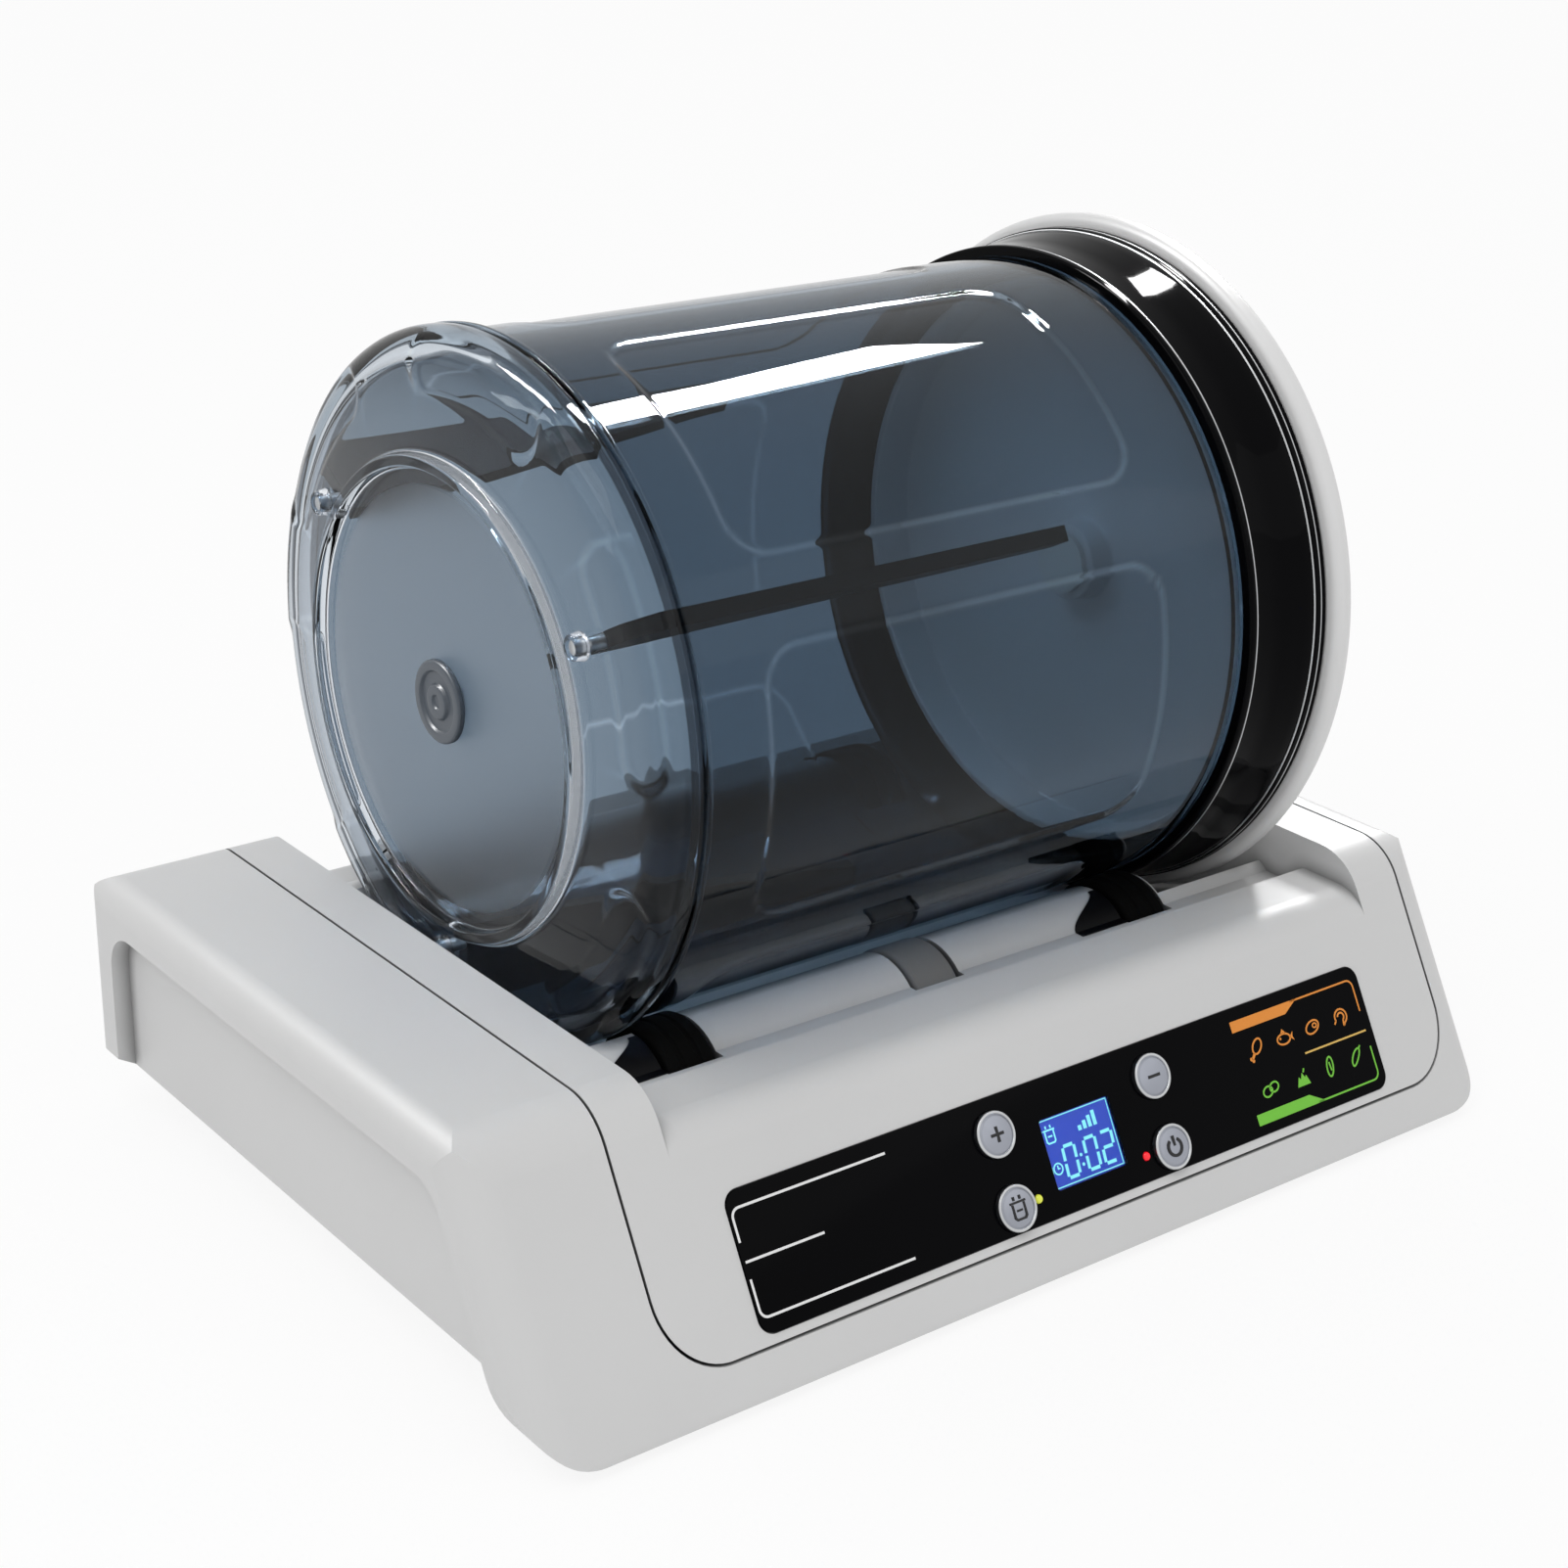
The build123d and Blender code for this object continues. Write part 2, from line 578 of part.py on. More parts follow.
def cradle_outline():
    """Side view of the air over the cradle: ridge, shaft covers, cradle arc and back rail."""
    turn = RIDGE_RADIUS * math.tan(SLOPE / 2)
    ridge_y = slope_y(RIDGE_TOP, 0)
    low = (ridge_y - turn * math.cos(SLOPE), RIDGE_TOP - turn * math.sin(SLOPE))
    high = (ridge_y + turn, RIDGE_TOP)
    out = math.sqrt(SHAFT_COVER_RADIUS**2 - (RAIL_TOP - ROLLER_Z) ** 2)
    to_drum = SHAFT_COVER_RADIUS / ROLLER_DISTANCE
    rise = (DRUM_Z - ROLLER_Z) * to_drum
    front_crown = (FRONT_SHAFT_Y + ROLLER_OFFSET_Y * to_drum, ROLLER_Z + rise)
    rear_crown = (REAR_SHAFT_Y - ROLLER_OFFSET_Y * to_drum, ROLLER_Z + rise)
    front_meet = meeting_point(FRONT_SHAFT_Y, ROLLER_Z, SHAFT_COVER_RADIUS, 1)
    rear_meet = meeting_point(REAR_SHAFT_Y, ROLLER_Z, SHAFT_COVER_RADIUS, -1)
    back_low = (BACK_Y, RAIL_TOP - RAIL_RADIUS)
    back_high = (BACK_Y - RAIL_RADIUS, RAIL_TOP)
    edges = [
        Line((-BIG, low[1]), low),
        TangentArc(low, high, tangent=(math.cos(SLOPE), math.sin(SLOPE))),
        Polyline(high, (RIDGE_BACK_Y, RIDGE_TOP), (GUTTER_Y, RAIL_TOP), (FRONT_SHAFT_Y - out, RAIL_TOP)),
        ThreePointArc((FRONT_SHAFT_Y - out, RAIL_TOP), front_crown, front_meet),
        ThreePointArc(front_meet, (DRUM_Y, DRUM_Z - CRADLE_RADIUS), rear_meet),
        ThreePointArc(rear_meet, rear_crown, (REAR_SHAFT_Y + out, RAIL_TOP)),
        Line((REAR_SHAFT_Y + out, RAIL_TOP), back_high),
        TangentArc(back_high, back_low, tangent=(1, 0)),
        Polyline(back_low, (BIG, back_low[1]), (BIG, BIG), (-BIG, BIG), (-BIG, low[1])),
    ]
    return make_face(edges)


def cradle_air(grow):
    """Space over the cradle, with the deeper bay for the collar and lid."""
    outline = cradle_outline()
    if grow:
        outline = offset(outline, grow)
    length = CRADLE_RIGHT - CRADLE_LEFT + 2 * grow
    air = Pos(CRADLE_LEFT - grow, 0, 0) * extrude(Plane.YZ * outline, length, dir=(1, 0, 0))
    bay = rod(COLLAR_BAY_LEFT - grow, CRADLE_RIGHT + grow, COLLAR_BAY_RADIUS + grow, DRUM_Y, DRUM_Z)
    shoulder = DRUM_RADIUS + SHOULDER_STEP + SLOT_CLEARANCE + grow
    shoulder_right = RIB_RIGHT + SLOT_CLEARANCE + grow
    return air + bay + rod(CRADLE_LEFT - grow, shoulder_right, shoulder, DRUM_Y, DRUM_Z)


def roller_slots():
    """Openings in the cover for the rollers."""
    cuts = []
    for shaft_y in (FRONT_SHAFT_Y, REAR_SHAFT_Y):
        for x in ROLLER_XS.values():
            half = ROLLER_WIDTH / 2 + SLOT_CLEARANCE
            cuts.append(rod(x - half, x + half, ROLLER_RADIUS + SLOT_CLEARANCE, shaft_y, ROLLER_Z))
    half = ROLLER_WIDTH / 2 + SLOT_CLEARANCE
    middle = MIDDLE_ROLLER_X
    radius = MIDDLE_ROLLER_RADIUS + SLOT_CLEARANCE
    cuts.append(rod(middle - half, middle + half, radius, FRONT_SHAFT_Y, ROLLER_Z))
    return cuts


def panel_cuts():
    """Recess for the control panel and the holes behind it."""
    cuts = [
        face_plate(
            PANEL_X,
            PANEL_T,
            PANEL_LENGTH + 2 * PANEL_CLEARANCE,
            PANEL_HEIGHT + 2 * PANEL_CLEARANCE,
            -WALL,
            PANEL_SINK,
            PANEL_RADIUS,
        )
    ]
    for x, t in BUTTONS.values():
        cuts.append(on_face(x, t, 0, 2 * WALL, BUTTON_RADIUS + BUTTON_CLEARANCE))
    for x, t in LEDS.values():
        cuts.append(on_face(x, t, 0, 2 * WALL, LED_RADIUS + LED_CLEARANCE))
    length = LCD_LENGTH + LCD_MARGIN
    height = LCD_HEIGHT + LCD_MARGIN
    cuts.append(face_plate(LCD_X, LCD_T, length, height, 0, 2 * WALL, LCD_CORNER))
    return cuts


def standoff_places():
    """Corners of the control board where it is screwed to the cover."""
    dx = BOARD_LENGTH / 2 - STANDOFF_RADIUS
    dt = BOARD_HEIGHT / 2 - STANDOFF_RADIUS
    return [(PANEL_X + sx * dx, PANEL_T + st * dt) for sx in (-1, 1) for st in (-1, 1)]


def add_posts(shell, places, limit):
    """Screw posts from inside the skin down to the bottom plate."""
    for x, y in places:
        shell += post(x, y, FLOOR, BASE_TOP, POST_RADIUS) & limit
        shell -= post(x, y, FLOOR - PAST, FLOOR + SCREW_LENGTH, SCREW_RADIUS + SCREW_FIT)
    return shell


def top_cover(outer):
    """Cover with the front slope, arm tops, cradle and back, hollow underneath."""
    solid = (outer & seam_prism(0)) - cradle_air(0)
    hollow = base_body(WALL, WALL) - cradle_air(WALL)
    shell = solid - hollow
    shell = add_posts(shell, COVER_POSTS, base_body(WALL / 2, WALL / 2) - cradle_air(WALL / 2))
    for x, t in standoff_places():
        shell += on_face(x, t, WALL / 2, BOARD_DEPTH, STANDOFF_RADIUS)
    for cut in roller_slots() + panel_cuts():
        shell -= cut
    inner = BACK_Y - 2 * WALL
    return shell - along_y(inner, BACK_Y + PAST, PORT_BODY_RADIUS + TUBE_FIT, PUMP_X, PUMP_Z)


def base_housing(outer):
    """Lower housing with the two arms, closed towards the cover by partitions."""
    floor_hole = block(
        -PLATE_HALF_LENGTH, PLATE_HALF_LENGTH, PLATE_FRONT_Y, PLATE_BACK_Y, 0, FLOOR + PAST
    )
    inside = base_body(WALL, WALL + GRIP_DEPTH) - side_undercut(WALL)
    shell = outer - grip_recess() - side_undercut(0) - inside
    shell -= seam_prism(SEAM_GAP)
    shell -= floor_hole
    fill = base_body(WALL - MERGE, WALL + GRIP_DEPTH - MERGE) - side_undercut(WALL - MERGE)
    for x0, x1 in ((PARTITION_LEFT, SEAM_LEFT), (SEAM_RIGHT, SEAM_RIGHT + PARTITION)):
        shell += (fill & block(x0, x1, -BIG, BIG, FLOOR, BIG)) - floor_hole
    shell -= rod(PARTITION_LEFT - PAST, SEAM_LEFT + PAST, BUSH_RADIUS, FRONT_SHAFT_Y, ROLLER_Z)
    shell = add_posts(shell, ARM_POSTS, base_body(WALL / 2, WALL / 2))
    opening = block(
        INLET_X - INLET_LENGTH / 2,
        INLET_X + INLET_LENGTH / 2,
        BACK_Y - 3 * WALL,
        BACK_Y + WALL,
        INLET_Z - INLET_HEIGHT / 2,
        INLET_Z + INLET_HEIGHT / 2,
    )
    return shell - opening


def bottom_plate():
    """Floor of the base, with holes for the feet and screws."""
    gap = PLATE_CLEARANCE
    plate = block(
        -PLATE_HALF_LENGTH + gap,
        PLATE_HALF_LENGTH - gap,
        PLATE_FRONT_Y + gap,
        PLATE_BACK_Y - gap,
        FOOT_HEIGHT,
        FLOOR,
    )
    for x, y in FEET:
        plate -= post(x, y, 0, FLOOR + PAST, FOOT_PEG_RADIUS)
    for x, y in COVER_POSTS + ARM_POSTS:
        plate -= post(x, y, 0, FLOOR + PAST, SCREW_RADIUS + SCREW_FIT)
        plate -= post(x, y, 0, FOOT_HEIGHT + SCREW_HEAD_HEIGHT, SCREW_HEAD_RADIUS + SCREW_FIT)
    return plate


def rubber_feet():
    """Four round feet, each with a peg in the bottom plate."""
    feet = []
    for x, y in FEET:
        pad = post(x, y, 0, FOOT_HEIGHT, FOOT_RADIUS)
        pad = chamfer(pad.edges().group_by(Axis.Z)[0], FOOT_HEIGHT / 3)
        feet.append(pad + post(x, y, FOOT_HEIGHT, FLOOR, FOOT_PEG_RADIUS - SCREW_FIT))
    return Compound(feet)


def bottom_screws():
    """Screws that hold the posts of the cover and the left arm from below."""
    screws = []
    for x, y in COVER_POSTS + ARM_POSTS:
        head = post(x, y, FOOT_HEIGHT, FOOT_HEIGHT + SCREW_HEAD_HEIGHT, SCREW_HEAD_RADIUS)
        screws.append(head + post(x, y, FOOT_HEIGHT, FLOOR + SCREW_LENGTH - SCREW_TIP_GAP, SCREW_RADIUS))
    return Compound(screws)


def control_panel():
    """Black fascia with holes for the buttons, lamps and display."""
    panel = face_plate(
        PANEL_X, PANEL_T, PANEL_LENGTH, PANEL_HEIGHT, PANEL_SINK - PANEL_THICKNESS, PANEL_SINK, PANEL_RADIUS
    )
    for x, t in BUTTONS.values():
        panel -= on_face(x, t, -WALL, WALL, BUTTON_RADIUS + BUTTON_CLEARANCE)
    for x, t in LEDS.values():
        panel -= on_face(x, t, -WALL, WALL, LED_RADIUS + LED_CLEARANCE)
    return panel - face_plate(LCD_X, LCD_T, LCD_LENGTH, LCD_HEIGHT, -WALL, WALL, LCD_CORNER)


def lcd_window():
    """Clear window set flush in the fascia."""
    gap = PANEL_CLEARANCE
    front = PANEL_SINK - PANEL_THICKNESS
    return face_plate(LCD_X, LCD_T, LCD_LENGTH - gap, LCD_HEIGHT - gap, front, PANEL_SINK, LCD_CORNER)


def lcd_module():
    """Display behind the window, soldered to the board."""
    return face_plate(LCD_X, LCD_T, LCD_LENGTH, LCD_HEIGHT, PANEL_SINK, BOARD_DEPTH, LCD_CORNER)


def led(x, t):
    """Round lamp that reaches from the board through the fascia."""
    front = PANEL_SINK - PANEL_THICKNESS - LED_PROUD
    lamp = on_face(x, t, front, BOARD_DEPTH, LED_RADIUS)
    tip = lamp.faces().sort_by(Axis((0, 0, 0), FACE.z_dir))[-1]
    return fillet(tip.edges(), LED_RADIUS * LED_DOME)


def control_board():
    """Circuit board on the cover's standoffs."""
    back = BOARD_DEPTH + BOARD_THICKNESS
    return face_plate(PANEL_X, PANEL_T, BOARD_LENGTH, BOARD_HEIGHT, BOARD_DEPTH, back, BOARD_CORNER)


def stem_end():
    """Depth of the inner end of a button stem at rest."""
    return BOARD_DEPTH - SWITCH_HEIGHT - PLUNGER_GAP - BUTTON_TRAVEL - PLUNGER_GAP


def tact_switches():
    """Push switches under the four buttons."""
    switches = []
    for x, t in BUTTONS.values():
        front = BOARD_DEPTH - SWITCH_HEIGHT
        body = face_plate(x, t, SWITCH_SIZE, SWITCH_SIZE, front, BOARD_DEPTH, SWITCH_CORNER)
        switches.append(body + on_face(x, t, front - PLUNGER_GAP, BOARD_DEPTH, PLUNGER_RADIUS))
    return Compound(switches)


def push_button(x, t):
    """Domed cap with a flange behind the cover and a stem to its switch."""
    front = PANEL_SINK - PANEL_THICKNESS - BUTTON_PROUD
    flange = WALL + BUTTON_CLEARANCE
    cap = on_face(x, t, front, flange, BUTTON_RADIUS)
    crown = cap.faces().sort_by(Axis((0, 0, 0), FACE.z_dir))[-1]
    cap = fillet(crown.edges(), BUTTON_PROUD * BUTTON_DOME)
    cap += on_face(x, t, flange, flange + BUTTON_FLANGE_THICKNESS, BUTTON_RADIUS + BUTTON_FLANGE)
    return cap + on_face(x, t, flange, stem_end(), BUTTON_STEM_RADIUS)


def roller(x, shaft_y, radius, bore):
    """Roller body or tyre with softened edges."""
    half = ROLLER_WIDTH / 2
    wheel = rod(x - half, x + half, radius, shaft_y, ROLLER_Z)
    wheel = fillet(wheel.edges().filter_by(GeomType.CIRCLE), ROLLER_EASE)
    return wheel - rod(x - half - PAST, x + half + PAST, bore, shaft_y, ROLLER_Z)


def hub(x, shaft_y):
    """Roller core pressed on the shaft inside its tyre."""
    half = ROLLER_WIDTH / 2 - CORE_INSET
    core = ROLLER_RADIUS - TYRE_THICKNESS - SHAFT_FIT
    wheel = rod(x - half, x + half, core, shaft_y, ROLLER_Z)
    return wheel - rod(x - half - PAST, x + half + PAST, SHAFT_RADIUS + SHAFT_FIT, shaft_y, ROLLER_Z)


def shaft(left, shaft_y):
    """Steel roller shaft with chamfered ends."""
    bar = rod(left, SHAFT_RIGHT, SHAFT_RADIUS, shaft_y, ROLLER_Z)
    return chamfer(bar.edges().filter_by(GeomType.CIRCLE), SHAFT_EASE)


def bearing_blocks():
    """Upright blocks on the bottom plate that carry the bushes."""
    blocks = []
    for shaft_y in (FRONT_SHAFT_Y, REAR_SHAFT_Y):
        for x in (BEARING_LEFT_X, BEARING_RIGHT_X):
            x0 = x - BEARING_WIDTH / 2
            x1 = x + BEARING_WIDTH / 2
            half = BEARING_HALF_DEPTH
            body = block(x0, x1, shaft_y - half, shaft_y + half, FLOOR, ROLLER_Z)
            body += rod(x0, x1, half, shaft_y, ROLLER_Z)
            foot = half + BEARING_FOOT
            body += block(
                x0 - BEARING_FOOT, x1 + BEARING_FOOT, shaft_y - foot, shaft_y + foot, FLOOR, FLOOR + WALL
            )
            blocks.append(body - rod(x0 - PAST, x1 + PAST, BUSH_RADIUS, shaft_y, ROLLER_Z))
    return Compound(blocks)


def bush(x0, x1, shaft_y):
    """Flanged bearing bush."""
    sleeve = rod(x0, x1, BUSH_RADIUS - SHAFT_FIT, shaft_y, ROLLER_Z)
    sleeve += rod(x1, x1 + BUSH_FLANGE, BUSH_RADIUS + BUSH_FLANGE_STEP, shaft_y, ROLLER_Z)
    return sleeve - rod(x0 - PAST, x1 + BUSH_FLANGE + PAST, SHAFT_RADIUS + SHAFT_FIT, shaft_y, ROLLER_Z)


def shaft_bushes():
    """Bushes in the bearing blocks and in the left partition."""
    half = BEARING_WIDTH / 2
    bushes = []
    for shaft_y in (FRONT_SHAFT_Y, REAR_SHAFT_Y):
        for x in (BEARING_LEFT_X, BEARING_RIGHT_X):
            bushes.append(bush(x - half, x + half, shaft_y))
    bushes.append(bush(PARTITION_LEFT, SEAM_LEFT, FRONT_SHAFT_Y))
    return Compound(bushes)


def involute(angle):
    """Involute function of an angle in radians."""
    return math.tan(angle) - angle


def spur_gear(teeth, width, bore):
    """Spur gear about X at the origin, one tooth pointing to +Y."""
    pitch = GEAR_MODULE * teeth / 2
    base = pitch * math.cos(math.radians(PRESSURE_DEG))
    root = pitch - DEDENDUM * GEAR_MODULE
    tip = pitch + ADDENDUM * GEAR_MODULE
    half_pitch = math.pi / (2 * teeth) - GEAR_BACKLASH / (2 * pitch) + involute(math.radians(PRESSURE_DEG))
    flank = []
    for step in range(FLANK_STEPS + 1):
        radius = max(root, base) + (tip - max(root, base)) * step / FLANK_STEPS
        flank.append((radius, half_pitch - involute(math.acos(min(1.0, base / radius)))))
    flank.insert(0, (root, flank[0][1]))
    points = []
    for tooth in range(teeth):
        centre = 2 * math.pi * tooth / teeth
        for radius, half in flank:
            points.append((radius * math.cos(centre - half), radius * math.sin(centre - half)))
        for radius, half in reversed(flank):
            points.append((radius * math.cos(centre + half), radius * math.sin(centre + half)))
    outline = Polygon(*points, align=None) - Circle(bore)
    return extrude(Plane.YZ * outline, width)


def driven_gear():
    """Gear on the front shaft."""
    gear = spur_gear(GEAR_TEETH, GEAR_WIDTH, SHAFT_RADIUS + SHAFT_FIT)
    turn = Rot(PINION_ANGLE_DEG, 0, 0)
    return Pos(GEAR_LEFT, FRONT_SHAFT_Y, ROLLER_Z) * turn * gear


def drive_pinion():
    """Pinion and output shaft of the gear motor."""
    pinion = spur_gear(PINION_TEETH, GEAR_WIDTH, MOTOR_SHAFT_RADIUS)
    turn = Rot(PINION_ANGLE_DEG + 180 + 180 / PINION_TEETH, 0, 0)
    pinion = Pos(GEAR_LEFT, PINION_Y, PINION_Z) * turn * pinion
    inner = MOTOR_RIGHT - MOTOR_SHAFT_SINK
    return pinion + rod(inner, GEAR_LEFT + GEAR_WIDTH, MOTOR_SHAFT_RADIUS, PINION_Y, PINION_Z)


def gear_motor():
    """Flat synchronous motor with its gearbox."""
    left = MOTOR_RIGHT - MOTOR_LENGTH
    body = rod(left, MOTOR_RIGHT, MOTOR_RADIUS, PINION_Y, PINION_Z)
    body = fillet(body.edges().filter_by(GeomType.CIRCLE).group_by(Axis.X)[0], MOTOR_EASE)
    inner = MOTOR_RIGHT - MOTOR_SHAFT_SINK - SHAFT_FIT
    return body - rod(inner, MOTOR_RIGHT + PAST, MOTOR_SHAFT_RADIUS + SHAFT_FIT, PINION_Y, PINION_Z)


def motor_bracket():
    """Round plate that carries the motor on spacers from the partition."""
    plate = rod(MOTOR_RIGHT, BRACKET_RIGHT, MOTOR_RADIUS, PINION_Y, PINION_Z)
    for degrees in SPACER_DEGREES:
        y = PINION_Y + SPACER_RING * math.cos(math.radians(degrees))
        z = PINION_Z + SPACER_RING * math.sin(math.radians(degrees))
        plate += rod(BRACKET_RIGHT, PARTITION_LEFT, SPACER_RADIUS, y, z)
    hole = MOTOR_SHAFT_RADIUS + BRACKET_GAP
    return plate - rod(MOTOR_RIGHT - PAST, BRACKET_RIGHT + PAST, hole, PINION_Y, PINION_Z)


def drum_outline():
    """Half section of the drum: foot ring, shoulder, rib, body and neck."""
    foot_inner = FOOT_RING_RADIUS - FOOT_RING_WIDTH
    edge = DRUM_RADIUS + SHOULDER_STEP
    middle = (RIB_LEFT + RIB_RIGHT) / 2
    inside_end = DRUM_END + DRUM_WALL
    bend_start = (DRUM_END + END_TAPER, edge - END_BEND)
    bend_end = (SHOULDER_X, edge - EDGE_EASE)
    outline = Polyline(
        (inside_end, 0),
        (DRUM_END, 0),
        (DRUM_END, foot_inner),
        (DRUM_FOOT, foot_inner + FOOT_RING_EASE),
        (DRUM_FOOT, FOOT_RING_RADIUS - FOOT_RING_EASE),
        (DRUM_END + EDGE_EASE, FOOT_RING_RADIUS + FOOT_RING_EASE),
        bend_start,
    )
    bend = TangentArc(bend_start, bend_end, tangent=outline % 1)
    body = Polyline(
        bend_end,
        (RIB_LEFT, edge),
        (middle - RIB_GROOVE, edge),
        (middle - RIB_GROOVE / 2, edge - RIB_GROOVE),
        (middle + RIB_GROOVE / 2, edge - RIB_GROOVE),
        (middle + RIB_GROOVE, edge),
        (RIB_RIGHT - EDGE_EASE, edge),
        (RIB_RIGHT, DRUM_RADIUS),
        (NECK_LEFT, DRUM_RADIUS),
        (NECK_LEFT, NECK_RADIUS),
        (NECK_RIGHT, NECK_RADIUS),
        (NECK_RIGHT, NECK_INNER),
        (NECK_LEFT, NECK_INNER),
        (NECK_LEFT - DRUM_WALL, DRUM_INNER),
        (RIB_RIGHT, DRUM_INNER),
        (SHOULDER_X, DRUM_INNER),
        (inside_end + INNER_TAPER, edge - INNER_BEND),
        (inside_end, FOOT_RING_RADIUS),
        (inside_end, 0),
    )
    return make_face([outline, bend, body])


def drum_panel():
    """Shallow rounded panel pressed into the drum body, centred above the axis."""
    width = PANEL_RIGHT - PANEL_LEFT
    middle = DRUM_RADIUS - PANEL_DEPTH + PANEL_TOOL / 2
    strip = Pos((PANEL_LEFT + PANEL_RIGHT) / 2, middle) * Rectangle(width, PANEL_TOOL)
    sector = Rot(90 - PANEL_SPAN_DEG / 2, 0, 0) * revolve(strip, Axis.X, PANEL_SPAN_DEG)
    corners = sector.edges().filter_by(GeomType.LINE).filter_by(Axis.X, reverse=True)
    return fillet(corners, PANEL_CORNER_RADIUS)


def neck_lugs():
    """Bayonet lugs inside the drum's neck."""
    x0 = LID_SKIRT_LEFT + LUG_WIDTH + LUG_GAP
    strip = Pos(x0 + LUG_WIDTH / 2, NECK_INNER + LUG_ROOT - LUG_DEPTH / 2)
    lug = revolve(strip * Rectangle(LUG_WIDTH, LUG_DEPTH), Axis.X, LUG_SPAN_DEG)
    return [Pos(0, DRUM_Y, DRUM_Z) * Rot(360 / LUG_COUNT * k, 0, 0) * lug for k in range(LUG_COUNT)]


def baffle_degrees():
    """Angles of the baffles up from the panel side."""
    return [BAFFLE_FIRST_DEG + 360 / BAFFLE_COUNT * k for k in range(BAFFLE_COUNT)]


def drum_shell():
    """Clear drum with pressed panels, bayonet lugs and baffle bosses."""
    shell = drum_turn(drum_outline())
    panel = drum_panel()
    for k in range(PANEL_COUNT):
        shell -= around_drum(panel, PANEL_FIRST_DEG + 360 / PANEL_COUNT * k)
    for lug in neck_lugs():
        shell += lug
    for degrees in baffle_degrees():
        boss = rod(DRUM_END - PIN_BOSS_HEIGHT, DRUM_END + DRUM_WALL, PIN_BOSS_RADIUS, 0, PIN_RING_RADIUS)
        hole = rod(DRUM_FOOT, DRUM_END + 4 * DRUM_WALL, PIN_RADIUS + SHAFT_FIT, 0, PIN_RING_RADIUS)
        shell += around_drum(boss, degrees)
        shell -= around_drum(hole, degrees)
    return shell - rod(DRUM_FOOT, DRUM_END + 2 * DRUM_WALL, HUB_STEM_RADIUS + SHAFT_FIT, DRUM_Y, DRUM_Z)


def baffle(degrees):
    """Tapered paddle along the drum wall."""
    top = DRUM_INNER - BAFFLE_CLEARANCE
    outline = Polygon(
        (BAFFLE_LEFT, top - BAFFLE_HEIGHT),
        (BAFFLE_LEFT + BAFFLE_FOOT, top - BAFFLE_HEIGHT),
        (BAFFLE_RIGHT, top - BAFFLE_TIP_HEIGHT),
        (BAFFLE_RIGHT, top),
        (BAFFLE_LEFT + BAFFLE_BEVEL, top),
        (BAFFLE_LEFT, top - BAFFLE_BEVEL_HEIGHT),
        align=None,
    )
    blade = extrude(Plane.XZ * outline, BAFFLE_THICKNESS / 2, both=True)
    hole_end = BAFFLE_LEFT + PIN_REACH + PIN_SINK
    hole = rod(BAFFLE_LEFT - PAST, hole_end, PIN_RADIUS + SHAFT_FIT, 0, PIN_RING_RADIUS)
    return around_drum(blade - hole, degrees)


def baffle_pins():
    """Pins that hold the baffles through the drum's end."""
    left = DRUM_END - PIN_BOSS_HEIGHT + PIN_SINK
    pins = []
    for degrees in baffle_degrees():
        pin = rod(left, BAFFLE_LEFT + PIN_REACH, PIN_RADIUS, 0, PIN_RING_RADIUS)
        pins.append(around_drum(pin, degrees))
    return Compound(pins)


def drum_hub_plug():
    """Rubber plug in the middle of the drum's closed end."""
    flange = rod(DRUM_END - HUB_PROUD, DRUM_END, HUB_FLANGE_RADIUS, DRUM_Y, DRUM_Z)
    flange = fillet(flange.edges().filter_by(GeomType.CIRCLE).group_by(Axis.X)[0], HUB_EASE)
    stem_right = DRUM_END + DRUM_WALL + HUB_STEM_EXTRA
    return flange + rod(DRUM_END, stem_right, HUB_STEM_RADIUS, DRUM_Y, DRUM_Z)


def drum_collar():
    """Glossy ring round the drum's mouth, flared towards a lip."""
    bore = NECK_RADIUS + SHAFT_FIT
    lip = COLLAR_RIGHT - COLLAR_LIP_WIDTH
    left = NECK_LEFT + SHAFT_FIT
    outline = Polyline(
        (left, bore),
        (left, COLLAR_LEFT_RADIUS),
        (left + COLLAR_BEAD / 2, COLLAR_LEFT_RADIUS + COLLAR_BEAD_HEIGHT),
        (left + COLLAR_BEAD, COLLAR_LEFT_RADIUS),
        (lip, COLLAR_RIGHT_RADIUS),
        (lip + COLLAR_LIP_EASE, COLLAR_LIP_RADIUS),
        (COLLAR_RIGHT - COLLAR_LIP_EASE, COLLAR_LIP_RADIUS),
        (COLLAR_RIGHT, COLLAR_LIP_RADIUS - COLLAR_LIP_EASE),
        (COLLAR_RIGHT, bore),
        close=True,
    )
    return drum_turn(make_face(outline))


def lid_lugs():
    """Bayonet lugs outside the lid's skirt, behind the neck's lugs."""
    strip = Pos(LID_SKIRT_LEFT + LUG_WIDTH / 2, LID_SKIRT_RADIUS - LUG_ROOT + LUG_DEPTH / 2)
    lug = revolve(strip * Rectangle(LUG_WIDTH, LUG_DEPTH), Axis.X, LUG_SPAN_DEG)
    return [Pos(0, DRUM_Y, DRUM_Z) * Rot(360 / LUG_COUNT * k, 0, 0) * lug for k in range(LUG_COUNT)]


